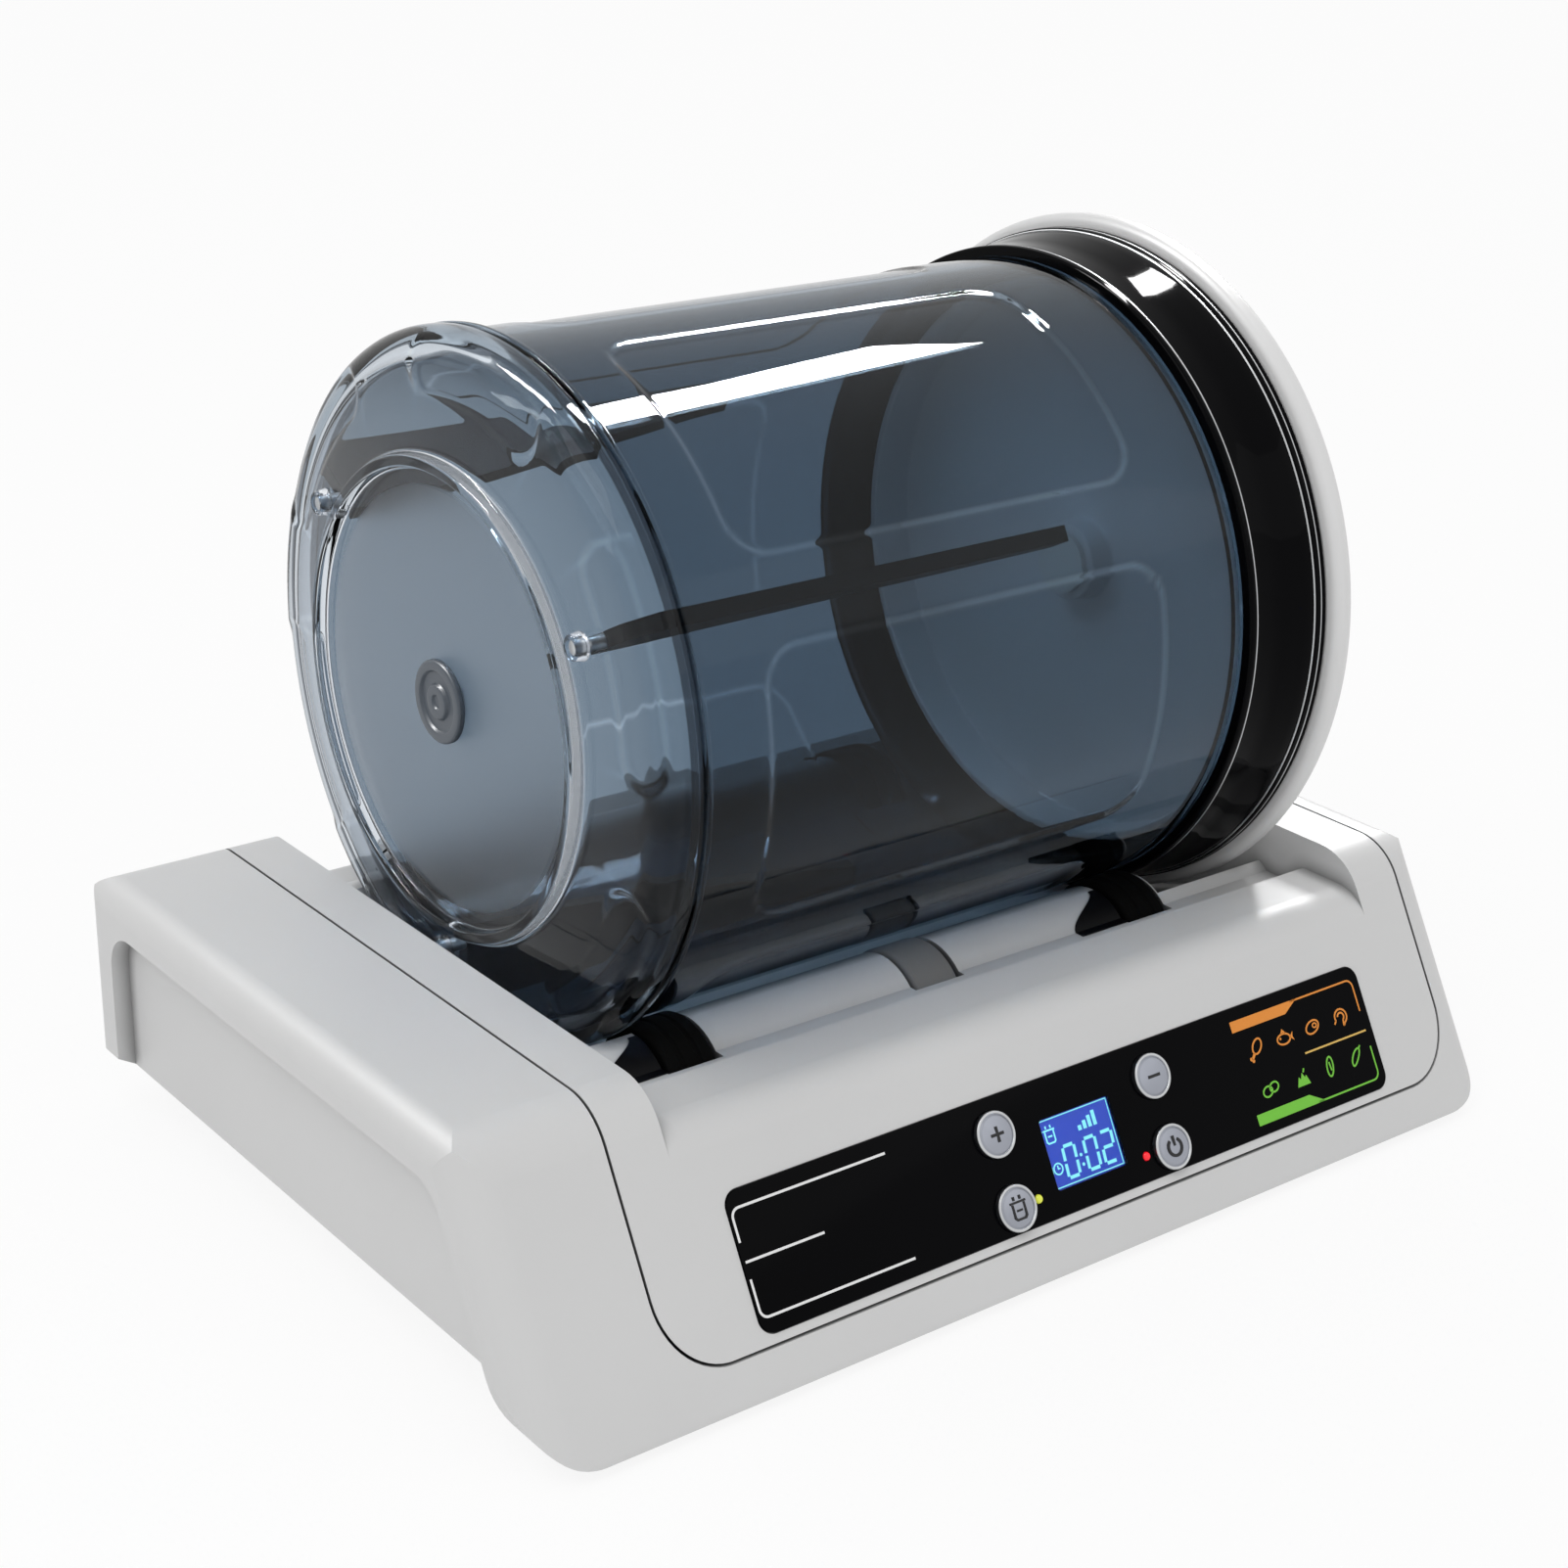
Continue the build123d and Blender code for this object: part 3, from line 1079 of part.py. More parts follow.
def drum_lid():
    """Lid with a bayonet skirt, a grip bar between two pockets and a valve boss."""
    disc = rod(LID_LEFT, LID_RIGHT, LID_RADIUS, DRUM_Y, DRUM_Z)
    disc = fillet(disc.edges().filter_by(GeomType.CIRCLE), LID_EDGE_RADIUS)
    pocket_floor = LID_RIGHT - GRIP_POCKET_DEPTH
    pockets = rod(pocket_floor, LID_RIGHT + PAST, GRIP_POCKET_RADIUS, DRUM_Y, DRUM_Z)
    half = GRIP_BAR_WIDTH / 2
    pockets -= block(LID_LEFT, LID_RIGHT + 2 * PAST, DRUM_Y - half, DRUM_Y + half, 0, BIG)
    lid = disc - pockets
    skirt_inner = LID_SKIRT_RADIUS - LID_SKIRT_WALL
    lid += tube(LID_SKIRT_LEFT, LID_LEFT + PAST, LID_SKIRT_RADIUS, skirt_inner, DRUM_Y, DRUM_Z)
    for lug in lid_lugs():
        lid += lug
    lid += rod(LID_LEFT - VALVE_BOSS_DEPTH, LID_LEFT + PAST, VALVE_BOSS_RADIUS, DRUM_Y, DRUM_Z)
    bore = VALVE_RADIUS + VALVE_CLEARANCE
    return lid - rod(LID_LEFT - VALVE_BOSS_DEPTH - PAST, LID_RIGHT + PAST, bore, DRUM_Y, DRUM_Z)


def lid_seal():
    """Flat gasket between the lid and the drum's rim."""
    outer = NECK_RADIUS - SHAFT_FIT
    return tube(NECK_RIGHT + SEAL_CLEARANCE, LID_LEFT, outer, SEAL_INNER_RADIUS, DRUM_Y, DRUM_Z)


def vacuum_valve():
    """Push valve through the lid's boss, with a head inside the drum."""
    inner = LID_LEFT - VALVE_BOSS_DEPTH - VALVE_CLEARANCE
    stem = rod(inner, LID_RIGHT + VALVE_PROUD, VALVE_RADIUS, DRUM_Y, DRUM_Z)
    stem = fillet(stem.edges().filter_by(GeomType.CIRCLE).group_by(Axis.X)[-1], VALVE_EASE)
    return stem + rod(inner - VALVE_HEAD, inner, VALVE_HEAD_RADIUS, DRUM_Y, DRUM_Z)


def vacuum_pump():
    """Small diaphragm pump: motor can, head block and a suction nozzle."""
    half = PUMP_HEAD / 2
    head_left = PUMP_X - PUMP_HEAD_LENGTH / 2
    head_right = PUMP_X + PUMP_HEAD_LENGTH / 2
    head = block(head_left, head_right, PUMP_Y - half, PUMP_Y + half, FLOOR, FLOOR + PUMP_HEAD)
    head = fillet(head.edges().filter_by(Axis.X), PUMP_HEAD_RADIUS)
    motor = rod(head_right, head_right + PUMP_LENGTH, PUMP_RADIUS, PUMP_Y, PUMP_Z)
    motor = fillet(motor.edges().filter_by(GeomType.CIRCLE).group_by(Axis.X)[-1], PUMP_EASE)
    saddle_left = head_right + SADDLE_INSET
    saddle_right = head_right + PUMP_LENGTH - SADDLE_INSET
    saddle_half = SADDLE_WIDTH / 2
    saddle = block(saddle_left, saddle_right, PUMP_Y - saddle_half, PUMP_Y + saddle_half, FLOOR, PUMP_Z)
    nozzle = along_y(PUMP_Y + half, PUMP_Y + half + NOZZLE_LENGTH, NOZZLE_RADIUS, PUMP_X, PUMP_Z)
    return head + motor + saddle + nozzle


def port_inner_y():
    """Inner end of the vacuum port's body."""
    return BACK_Y - 3 * WALL


def vacuum_tube():
    """Soft tube between the pump and the port."""
    y0 = PUMP_Y + PUMP_HEAD / 2 + TUBE_END_GAP
    y1 = port_inner_y() - TUBE_END_GAP
    outer = along_y(y0, y1, TUBE_RADIUS, PUMP_X, PUMP_Z)
    return outer - along_y(y0 - PAST, y1 + PAST, NOZZLE_RADIUS + TUBE_FIT, PUMP_X, PUMP_Z)


def vacuum_port():
    """Hose spigot through the back of the cover."""
    inner = port_inner_y()
    body = along_y(inner, BACK_Y, PORT_BODY_RADIUS, PUMP_X, PUMP_Z)
    body += along_y(BACK_Y, BACK_Y + PORT_FLANGE, PORT_FLANGE_RADIUS, PUMP_X, PUMP_Z)
    body += along_y(BACK_Y, BACK_Y + PORT_NOZZLE, NOZZLE_RADIUS + PORT_WALL, PUMP_X, PUMP_Z)
    body += along_y(inner - NOZZLE_LENGTH, inner, NOZZLE_RADIUS, PUMP_X, PUMP_Z)
    bore_start = inner - NOZZLE_LENGTH - PAST
    return body - along_y(bore_start, BACK_Y + PORT_NOZZLE + PAST, PORT_BORE, PUMP_X, PUMP_Z)


def inlet_block(grow, y0, y1):
    """Rounded box on the mains inlet's axis."""
    outline = RectangleRounded(INLET_LENGTH + 2 * grow, INLET_HEIGHT + 2 * grow, INLET_CORNER)
    return Pos(INLET_X, y1, INLET_Z) * extrude(Plane.XZ * outline, y1 - y0)


def power_inlet():
    """Mains inlet with a two-pin socket."""
    body = inlet_block(-INLET_CLEARANCE, BACK_Y - INLET_DEPTH, BACK_Y)
    body += inlet_block(INLET_FLANGE, BACK_Y, BACK_Y + INLET_FLANGE)
    socket = inlet_block(-INLET_RIM, BACK_Y - INLET_SOCKET_DEPTH, BACK_Y + 2 * INLET_FLANGE)
    return body - socket


def inlet_pins():
    """The two pins of the mains inlet."""
    root = BACK_Y - INLET_SOCKET_DEPTH
    tip = BACK_Y - INLET_PIN_SINK
    pins = []
    for side in (-1, 1):
        x = INLET_X + side * INLET_PIN_PITCH / 2
        pins.append(along_y(root, tip, INLET_PIN_RADIUS, x, INLET_Z))
    return Compound(pins)


def power_board():
    """Supply board on four legs, with its transformer."""
    x0 = POWER_BOARD_X - POWER_BOARD_LENGTH / 2
    x1 = POWER_BOARD_X + POWER_BOARD_LENGTH / 2
    y0 = POWER_BOARD_Y - POWER_BOARD_WIDTH / 2
    y1 = POWER_BOARD_Y + POWER_BOARD_WIDTH / 2
    bottom = FLOOR + POWER_BOARD_LIFT
    board = block(x0, x1, y0, y1, bottom, bottom + BOARD_THICKNESS)
    inset = POWER_BOARD_LEG_INSET
    for x in (x0 + inset, x1 - inset):
        for y in (y0 + inset, y1 - inset):
            board += post(x, y, FLOOR, bottom, STANDOFF_RADIUS)
    half = TRANSFORMER / 2
    top = bottom + BOARD_THICKNESS
    left = x0 + TRANSFORMER_INSET
    right = left + TRANSFORMER_LENGTH
    return board + block(left, right, POWER_BOARD_Y - half, POWER_BOARD_Y + half, top, top + TRANSFORMER)


def all_nodes():
    """Every piece of the machine, by node name."""
    outer = outer_body()
    nodes = {
        "base_housing": base_housing(outer),
        "top_cover": top_cover(outer),
        "bottom_plate": bottom_plate(),
        "rubber_feet": rubber_feet(),
        "bottom_screws": bottom_screws(),
        "control_panel": control_panel(),
        "lcd_window": lcd_window(),
        "lcd_module": lcd_module(),
        "control_board": control_board(),
        "tact_switches": tact_switches(),
        "bearing_blocks": bearing_blocks(),
        "shaft_bushes": shaft_bushes(),
        "gear_motor": gear_motor(),
        "motor_bracket": motor_bracket(),
        "drive_pinion": drive_pinion(),
        "driven_gear": driven_gear(),
        "front_shaft": shaft(GEAR_LEFT - SHAFT_EASE, FRONT_SHAFT_Y),
        "rear_shaft": shaft(BEARING_LEFT_X - BEARING_WIDTH, REAR_SHAFT_Y),
        "front_middle_roller": roller(
            MIDDLE_ROLLER_X, FRONT_SHAFT_Y, MIDDLE_ROLLER_RADIUS, SHAFT_RADIUS + SHAFT_FIT
        ),
        "vacuum_pump": vacuum_pump(),
        "vacuum_tube": vacuum_tube(),
        "vacuum_port": vacuum_port(),
        "power_inlet": power_inlet(),
        "inlet_pins": inlet_pins(),
        "power_board": power_board(),
        "drum_shell": drum_shell(),
        "baffle_pins": baffle_pins(),
        "drum_hub_plug": drum_hub_plug(),
        "drum_collar": drum_collar(),
        "drum_lid": drum_lid(),
        "lid_seal": lid_seal(),
        "vacuum_valve": vacuum_valve(),
    }
    for name, (x, t) in BUTTONS.items():
        nodes[name] = push_button(x, t)
    for name, (x, t) in LEDS.items():
        nodes[name] = led(x, t)
    for row, shaft_y in (("front", FRONT_SHAFT_Y), ("rear", REAR_SHAFT_Y)):
        for side, x in ROLLER_XS.items():
            nodes[f"{row}_{side}_tyre"] = roller(x, shaft_y, ROLLER_RADIUS, ROLLER_RADIUS - TYRE_THICKNESS)
            nodes[f"{row}_{side}_hub"] = hub(x, shaft_y)
    for number, degrees in enumerate(baffle_degrees(), start=1):
        nodes[f"drum_baffle_{number}"] = baffle(degrees)
    return nodes


os.makedirs("parts", exist_ok=True)
for node_name, node_shape in all_nodes().items():
    export_step(node_shape, f"parts/{node_name}.step")
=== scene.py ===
import json
import math
import bmesh
import bpy
from mathutils import Matrix, Vector


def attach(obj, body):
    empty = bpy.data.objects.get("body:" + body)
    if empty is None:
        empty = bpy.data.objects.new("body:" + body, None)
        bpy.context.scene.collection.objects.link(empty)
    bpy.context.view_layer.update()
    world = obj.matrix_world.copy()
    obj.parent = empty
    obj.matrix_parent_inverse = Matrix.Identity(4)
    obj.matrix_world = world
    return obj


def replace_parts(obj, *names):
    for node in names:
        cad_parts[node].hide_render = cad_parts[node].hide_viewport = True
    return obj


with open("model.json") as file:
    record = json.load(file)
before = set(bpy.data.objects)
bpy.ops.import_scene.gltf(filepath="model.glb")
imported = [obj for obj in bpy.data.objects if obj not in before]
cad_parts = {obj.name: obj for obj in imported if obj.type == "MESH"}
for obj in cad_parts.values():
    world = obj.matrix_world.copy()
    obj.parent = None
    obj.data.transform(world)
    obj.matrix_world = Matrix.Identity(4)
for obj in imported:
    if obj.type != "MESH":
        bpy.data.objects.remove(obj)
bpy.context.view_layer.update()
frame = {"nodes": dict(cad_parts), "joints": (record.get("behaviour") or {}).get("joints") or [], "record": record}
nodes = frame["nodes"]
joints = {joint["name"]: joint for joint in frame["joints"]}
scene = bpy.context.scene

# Sizes below are millimetres in the model's frame unless a line says otherwise
MM = 0.001
MERGE = 0.0001
SHARP_DEG = 40.0

# Camera, fitted to the photograph: degrees, and pixels of a square frame
CAMERA_PLACE = (-524.886, -668.301, 455.385)
CAMERA_HEADING = 37.8194
CAMERA_PITCH = 21.9027
CAMERA_ROLL = 1.2521
FOCAL_PIXELS = 2890.77
FRAME_PIXELS = 1602
SENSOR_WIDTH = 36.0

# Studio, in metres and watts: lamps as (place, size, watts), and the ones that only shine in gloss
WHITE = (1, 1, 1, 1)
WORLD_STRENGTH = 0.80
FLOOR_HALF = 4.0
FLOOR_GREY = (0.90, 0.90, 0.90)
FLOOR_GLOW = 0.88
LAMP_TARGET = (0.0, 0.0, 0.12)
LAMPS = {
    "key": ((-0.9, -0.2, 1.6), (0.9, 0.9), 5.5),
    "fill": ((0.9, -1.3, 0.9), (0.9, 0.7), 0.8),
    "drum_shine": ((0.52, 0.25, 1.0), (0.12, 0.3), 13.0),
    "shoulder_shine": ((-0.43, 0.40, 1.0), (0.12, 0.7), 20.0),
    "collar_shine": ((1.29, 0.70, 0.85), (0.12, 0.3), 14.0),
}
SHINE_LAMPS = ("drum_shine", "shoulder_shine", "collar_shine")

# Turned pieces
LATHE_SEGMENTS = 256
TYRE_SEGMENTS = 128
SMALL_SEGMENTS = 96
SLEEVE_SEGMENTS = 48
ARC_STEPS = 4
ARC_CHORD = 0.8

# Drum
DRUM_RADIUS = 108.0
DRUM_WALL = 3.0
DRUM_FOOT = -122.0
DRUM_END = -118.5
FOOT_INNER = 70.5
FOOT_INNER_TOP = 71.1
FOOT_OUTER_TOP = 74.4
FOOT_OUTER = 75.6
SHOULDER_STEP = 0.3
SHOULDER_X = -113.7
SHOULDER_BEND = 9.5
INNER_SHOULDER_X = -111.2
INNER_SHOULDER_BEND = 9.0
INNER_END_RADIUS = 76.0
INNER_END_BEND = 8.0
RIB_RADIUS = 111.0
RIB_RIGHT = -98.6
RIB_FOOT = -98.0
GROOVE_LEFT = -103.2
GROOVE_RIGHT = -100.3
GROOVE_SLANT = 0.8
GROOVE_DEPTH = 1.5
HUB_HOLE = 9.05
HUB_BEVEL = 0.3
NECK_LEFT = 111.0
NECK_RIGHT = 140.0
NECK_RADIUS = 105.5
NECK_INNER = 102.5
MOUTH_BEVEL = 0.6
PANEL_COUNT = 6
PANEL_LEFT = -76.0
PANEL_RIGHT = 77.0
PANEL_SPAN_DEG = 46.0
PANEL_FIRST_DEG = -3.0
PANEL_DEPTH = 0.8
PANEL_CORNER = 13.0
PANEL_EDGE = 2.6
FLUTE_COUNT = 6
FLUTE_FIRST_DEG = 22.0
FLUTE_SPAN_DEG = 40.0
FLUTE_RADIUS = 100.0
FLUTE_HALF_WIDTH = 8.0
FLUTE_DEPTH = 0.9
FLUTE_EDGE = 3.0
FLUTE_LOW = 88.0
FLUTE_RIGHT = -104.5
BAFFLE_DEGREES = (27.5, 147.5, 267.5)
PIN_RING = 83.0
SLEEVE_BORE = 2.4
SLEEVE_FOOT = 4.4
SLEEVE_TOP = 3.7
SLEEVE_HEIGHT = 2.5
SLEEVE_SUNK = 1.4
PLUG_RADIUS = 13.0
PLUG_STEM = 9.0

# Spacing of the drum's points: degrees round it, then steps along its section
FINE_DEG = 0.5
COARSE_DEG = 1.6
FINE_REACH_DEG = 3.0
ROW_STEP = 1.2
PANEL_ROW = 1.0
PANEL_ROWS_REACH = 16.0
BRACE = 1.0
BRACE_SHARE = 1 / 3

# Collar, and the painted highlights round its bead and lip, as (x, radius) of thin bright steel wires
COLLAR_LENGTH = 31.0
COLLAR_LIP = 114.8
COLLAR_GAP = 0.1
COLLAR_HIGHLIGHTS = ((114.2, 111.0), (137.4, 113.9), (139.8, 114.4))
WIRE = 0.35
WIRE_ANGLES = [math.pi * k / 4 for k in range(8)]

# Lid
LID_LEFT = 142.4
LID_RIGHT = 151.5
LID_RADIUS = 119.0
POCKET_RADIUS = 62.0
POCKET_FLOOR = 146.5
VALVE_BORE = 5.8
VALVE_BOSS = 14.0
VALVE_BOSS_DEPTH = 9.0
SKIRT_INNER = 96.6
SKIRT_OUTER = 99.6
SKIRT_LENGTH = 15.9
RIM_GROOVE = 102.5
GRIP_HALF_WIDTH = 13.0
GRIP_WAIST = 2.0
GRIP_STEPS = 24
GRIP_DROP = 0.3
GRIP_BEVEL = 1.4
BEVEL_SEGMENTS = 3

# Rollers, as (y, z) of their shafts
ROLLER_SHAFTS = {"front": (-48.0, 52.0), "rear": (94.0, 52.0)}
ROLLER_XS = {"left": -87.5, "right": 98.5}
ROLLER_RADIUS = 21.0
ROLLER_HALF_WIDTH = 8.5
TYRE_INNER = 16.0
TYRE_CORNER = 1.5
TYRE_GROOVE = 0.5
TYRE_GROOVE_XS = (-3.0, 3.0)

# Painted shade beside the front rollers, as dark sheets; WELL_RING is their section as (edge, lift)
SLOT_HALF_WIDTH = 10.0
COVER_RADIUS = 19.5
GUTTER_Z = 66.0
WELL_TOP_DEG = 88.0
WELL_STEPS = 12
WELL_PROUD = 0.35
WELL_SUNK = 0.15
WELL_NARROW = 3.0
WELL_WIDE = 20.0
WELL_FLAT = 3.5
WELL_RING = ((0, -WELL_SUNK), (1, -WELL_SUNK), (1, WELL_PROUD), (0, WELL_PROUD))

# Front slope: distance T runs up it from its bottom edge, H stands off it
SLOPE_DEG = 60.5
SLOPE_FOOT = (0.0, -142.0, 3.0)
PRINT_LOW = 0.28
PRINT_HIGH = 0.36
MARK_SHARP_DEG = 30.0
MARK_ARC_DEG = 15.0
MARK_ARC_LEAST = 4
MITRE_LIMIT = 0.35

# Prints on the panel
FRAME_LEFT = -111.9
FRAME_RIGHT = -56.2
FRAME_TOP = 53.2
FRAME_BOTTOM = 21.6
FRAME_CORNER = 2.6
FRAME_WIDTH = 0.75
FRAME_TOP_DROP = 9.5
FRAME_BOTTOM_RISE = 11.5
FRAME_MIDDLE = 38.0
FRAME_MIDDLE_LENGTH = 28.0
ICON_WIDTH = 0.6
BONE_WIDTH = 1.6 * ICON_WIDTH
MARROW_WIDTH = 0.8 * ICON_WIDTH
TAB_LEFT = 86.2
TAB_RIGHT = 110.5
TAB_SLANT = 6.5
TAB_LINE_RIGHT = 142.9
TAB_LINE_WIDTH = 0.6
DIVIDER = ((114.0, 36.4), (143.0, 36.4))

# Rows of icons: outer and inner edge of the tab, end of the frame line
MEAT_ROW = (54.2, 50.6, 43.0)
PLANT_ROW = (19.8, 23.4, 31.0)

# The four push buttons and the display, as (x, t)
BUTTONS = {
    "plus": (-16.5, 47.1),
    "minus": (48.3, 47.1),
    "vacuum": (-16.5, 24.3),
    "power": (48.3, 24.3),
}
BUTTON_RADIUS = 7.2
BUTTON_TOP = 2.5
BUTTON_STEM = 2.5
BUTTON_STEM_FOOT = -6.4
FLANGE_RADIUS = 8.0
FLANGE_FOOT = -4.3
FLANGE_TOP = -3.3
RIM_INNER = 6.2
RIM_FOOT = 1.2
RIM_TOP = 2.1
BUTTON_MARK_LOW = 2.2
BUTTON_MARK_HIGH = 2.56
BUTTON_MARK_WIDTH = 0.95
BUTTON_MARK_REACH = 2.4
BUTTON_JAR_SIZE = 1.1
BUTTON_JAR_STROKE = 0.7 * BUTTON_MARK_WIDTH
POWER_RADIUS = 2.7
POWER_DROP = 0.2
POWER_ARC_DEG = (125, 415)
POWER_BAR = (0.2, 3.4)
LCD = (15.6, 35.2)
LCD_SIZE = (28.4, 21.6)
LCD_LINE = 0.4
DISPLAY_LOW = -0.92
DISPLAY_HIGH = -0.82
WINDOW_LOW = 0.0
WINDOW_HIGH = 0.25

# What the display shows, from its lower left corner
DIGITS = (("0", 6.0), ("0", 14.6), ("2", 21.4))
DIGIT_BOTTOM = 2.2
DIGIT_WIDTH = 4.6
DIGIT_HEIGHT = 9.6
DIGIT_STROKE = 1.1
DIGIT_GAP = 0.4
DIGIT_LEAN = 0.06
SEGMENTS = {"0": "abcdef", "2": "abged"}
COLON_X = 12.8
COLON_TS = (4.6, 7.6)
COLON_RADIUS = 0.55
JAR_PLACE = (3.4, 16.6)
JAR_SIZE = 0.85
JAR_STROKE = 0.55
CLOCK_PLACE = (2.9, 6.0)
CLOCK_RADIUS = 1.7
CLOCK_STROKE = 0.5
HANDS = ((0, 1.1), (0, 0), (0.8, 0))
HANDS_STROKE = 0.45
BARS_PLACE = (14.6, 14.6)
BAR_COUNT = 4
BAR_PITCH = 2.1
BAR_WIDTH = 1.4
BAR_FIRST = 1.6

# Looks of nodes that differ from their slot
NODE_LOOKS = {"vacuum_valve": "silicone"}

# Shade in seams
CREVICE = 6.0
CREVICE_SAMPLES = 8

# Patterns of the materials: waves per metre, and detail of the noise
GRAIN_WAVES = 1800.0
GRAIN_DETAIL = 3.0
GRAIN_HEIGHT = 0.02
GRAIN_STRENGTH = 0.35
MOTTLE_DETAIL = 2.0
MOTTLE_SPAN = (0.35, 0.65)
MOULDED_WAVES = 9.0
GLOSS_WAVES = 14.0
GLOSS_DRIFT = 0.8
METAL_WAVES = 60.0
METAL_DRIFT = 0.9
METAL_ROUGH_SPAN = (0.8, 1.3)
STREAK_WAVES = 240.0
SMUDGE_DETAIL = 4.0
SMUDGE_WAVES = 30.0
WINDOW_WAVES = 25.0
SMOKE_WAVES = 18.0
LIT_ROUGH_SPAN = (0.15, 0.25)

# Smoke plastic: tints at places along the drum, and painted highlights along the edges of panels and flutes
SMOKE_BODY = (0.20, 0.265, 0.33)
SMOKE_END_SHEEN = (0.86, 0.89, 0.93)
SMOKE_IOR = 1.24
SMOKE_ROUGHNESS = 0.03
SMOKE_CAP_SHEEN = (0.60, 0.66, 0.72)
SMOKE_GROOVE_SHADE = (0.03, 0.04, 0.055)
# The pale end and cap are painted reflection; the dark groove stop is painted shade
SMOKE_STOPS = (
    (-117.0, SMOKE_END_SHEEN),
    (-111.3, SMOKE_CAP_SHEEN),
    (GROOVE_LEFT, SMOKE_CAP_SHEEN),
    (-102.8, SMOKE_GROOVE_SHADE),
    (-100.8, SMOKE_GROOVE_SHADE),
    (-100.4, SMOKE_BODY),
)
# Colour of the painted highlights along panel and flute edges
SMOKE_HIGHLIGHT = (0.42, 0.455, 0.49)
SMOKE_EDGE = (0.015, 0.022, 0.035)
EDGE_POWER = 2.5
# Half width of those painted highlights, and their strength on the flutes
HIGHLIGHT_HALF_WIDTH = 1.5
FLUTE_HIGHLIGHT = 0.9

# Satin disc of the drum's end: roughness, radius, and width of its soft edge
HAZE = 0.38
HAZE_RADIUS = 66.5
HAZE_EDGE = 1.5

DRUM_AXIS = [c / MM for c in joints["drum_spin"]["pos_m"]]


def make_camera():
    """Camera at the photograph's viewpoint."""
    heading = math.radians(CAMERA_HEADING)
    pitch = math.radians(CAMERA_PITCH)
    roll = math.radians(CAMERA_ROLL)
    ahead = math.cos(pitch)
    forward = Vector((math.sin(heading) * ahead, math.cos(heading) * ahead, -math.sin(pitch)))
    level = Vector((math.cos(heading), -math.sin(heading), 0))
    upright = level.cross(forward)
    right = math.cos(roll) * level + math.sin(roll) * upright
    up = math.cos(roll) * upright - math.sin(roll) * level
    data = bpy.data.cameras.new("photo_camera")
    data.sensor_width = SENSOR_WIDTH
    data.lens = SENSOR_WIDTH * FOCAL_PIXELS / FRAME_PIXELS
    camera = bpy.data.objects.new("photo_camera", data)
    turn = Matrix((right, up, -forward)).transposed().to_4x4()
    camera.matrix_world = Matrix.Translation(Vector(CAMERA_PLACE) * MM) @ turn
    scene.collection.objects.link(camera)
    scene.camera = camera


def node(tree, kind, inputs=None, operation=None):
    """New shader node whose inputs are linked to sockets or given values."""
    made = tree.nodes.new(f"ShaderNode{kind}")
    if operation:
        made.operation = operation
    for key, value in (inputs or {}).items():
        if isinstance(value, bpy.types.NodeSocket):
            tree.links.new(value, made.inputs[key])
        else:
            made.inputs[key].default_value = value
    return made


def white_to_eye(tree):
    """Light Path factor: 1 for camera, glossy and transmission rays."""
    path = node(tree, "LightPath").outputs
    first = node(tree, "Math", {0: path["Is Camera Ray"], 1: path["Is Glossy Ray"]}, "MAXIMUM")
    second = node(tree, "Math", {0: first.outputs[0], 1: path["Is Transmission Ray"]}, "MAXIMUM")
    return second.outputs[0]


def make_world():
    """Even studio light, seen as plain white."""
    world = bpy.data.worlds.new("studio")
    scene.world = world
    world.use_nodes = True
    tree = world.node_tree
    light = tree.nodes["Background"]
    light.inputs["Color"].default_value = WHITE
    light.inputs["Strength"].default_value = WORLD_STRENGTH
    seen = node(tree, "Background", {"Color": WHITE, "Strength": 1.0})
    mix = node(tree, "MixShader", {"Fac": white_to_eye(tree), 1: light.outputs[0], 2: seen.outputs[0]})
    tree.links.new(mix.outputs[0], tree.nodes["World Output"].inputs["Surface"])


def make_floor():
    """Pale floor that keeps a soft shadow."""
    half = FLOOR_HALF
    corners = [(-half, -half, 0), (half, -half, 0), (half, half, 0), (-half, half, 0)]
    mesh = bpy.data.meshes.new("floor")
    mesh.from_pydata(corners, [], [(0, 1, 2, 3)])
    floor = bpy.data.objects.new("floor", mesh)
    scene.collection.objects.link(floor)
    mat = bpy.data.materials.new("floor_white")
    mat.use_nodes = True
    tree = mat.node_tree
    tree.nodes.clear()
    matt = node(tree, "BsdfDiffuse", {"Color": (*FLOOR_GREY, 1)})
    glow = node(tree, "Emission", {"Color": WHITE})
    seen = node(tree, "MixShader", {"Fac": FLOOR_GLOW, 1: matt.outputs[0], 2: glow.outputs[0]})
    mix = node(tree, "MixShader", {"Fac": white_to_eye(tree), 1: matt.outputs[0], 2: seen.outputs[0]})
    node(tree, "OutputMaterial", {"Surface": mix.outputs[0]})
    mesh.materials.append(mat)


def area_light(name, place, size, watts):
    """Rectangular soft light aimed at the object."""
    data = bpy.data.lights.new(name, "AREA")
    data.shape = "RECTANGLE"
    data.size, data.size_y = size
    data.energy = watts
    lamp = bpy.data.objects.new(name, data)
    lamp.location = place
    lamp.rotation_euler = (Vector(LAMP_TARGET) - Vector(place)).to_track_quat("-Z", "Y").to_euler()
    lamp.visible_diffuse = name not in SHINE_LAMPS
    scene.collection.objects.link(lamp)


def make_lights():
    """A large key over the left shoulder, a fill at the front and lamps that only shine in gloss."""
    for name, (place, size, watts) in LAMPS.items():
        area_light(name, place, size, watts)


def shader_input(mat, name):
    """Input socket of a material's Principled shader."""
    return mat.node_tree.nodes["Principled BSDF"].inputs[name]


def principled(name, color, roughness, **values):
    """New material with a Principled shader whose plain values are set on its sockets."""
    mat = bpy.data.materials.new(name)
    mat.use_nodes = True
    shader_input(mat, "Base Color").default_value = (*color, 1)
    shader_input(mat, "Roughness").default_value = roughness
    for socket, value in values.items():
        shader_input(mat, socket.replace("_", " ")).default_value = value
    return mat


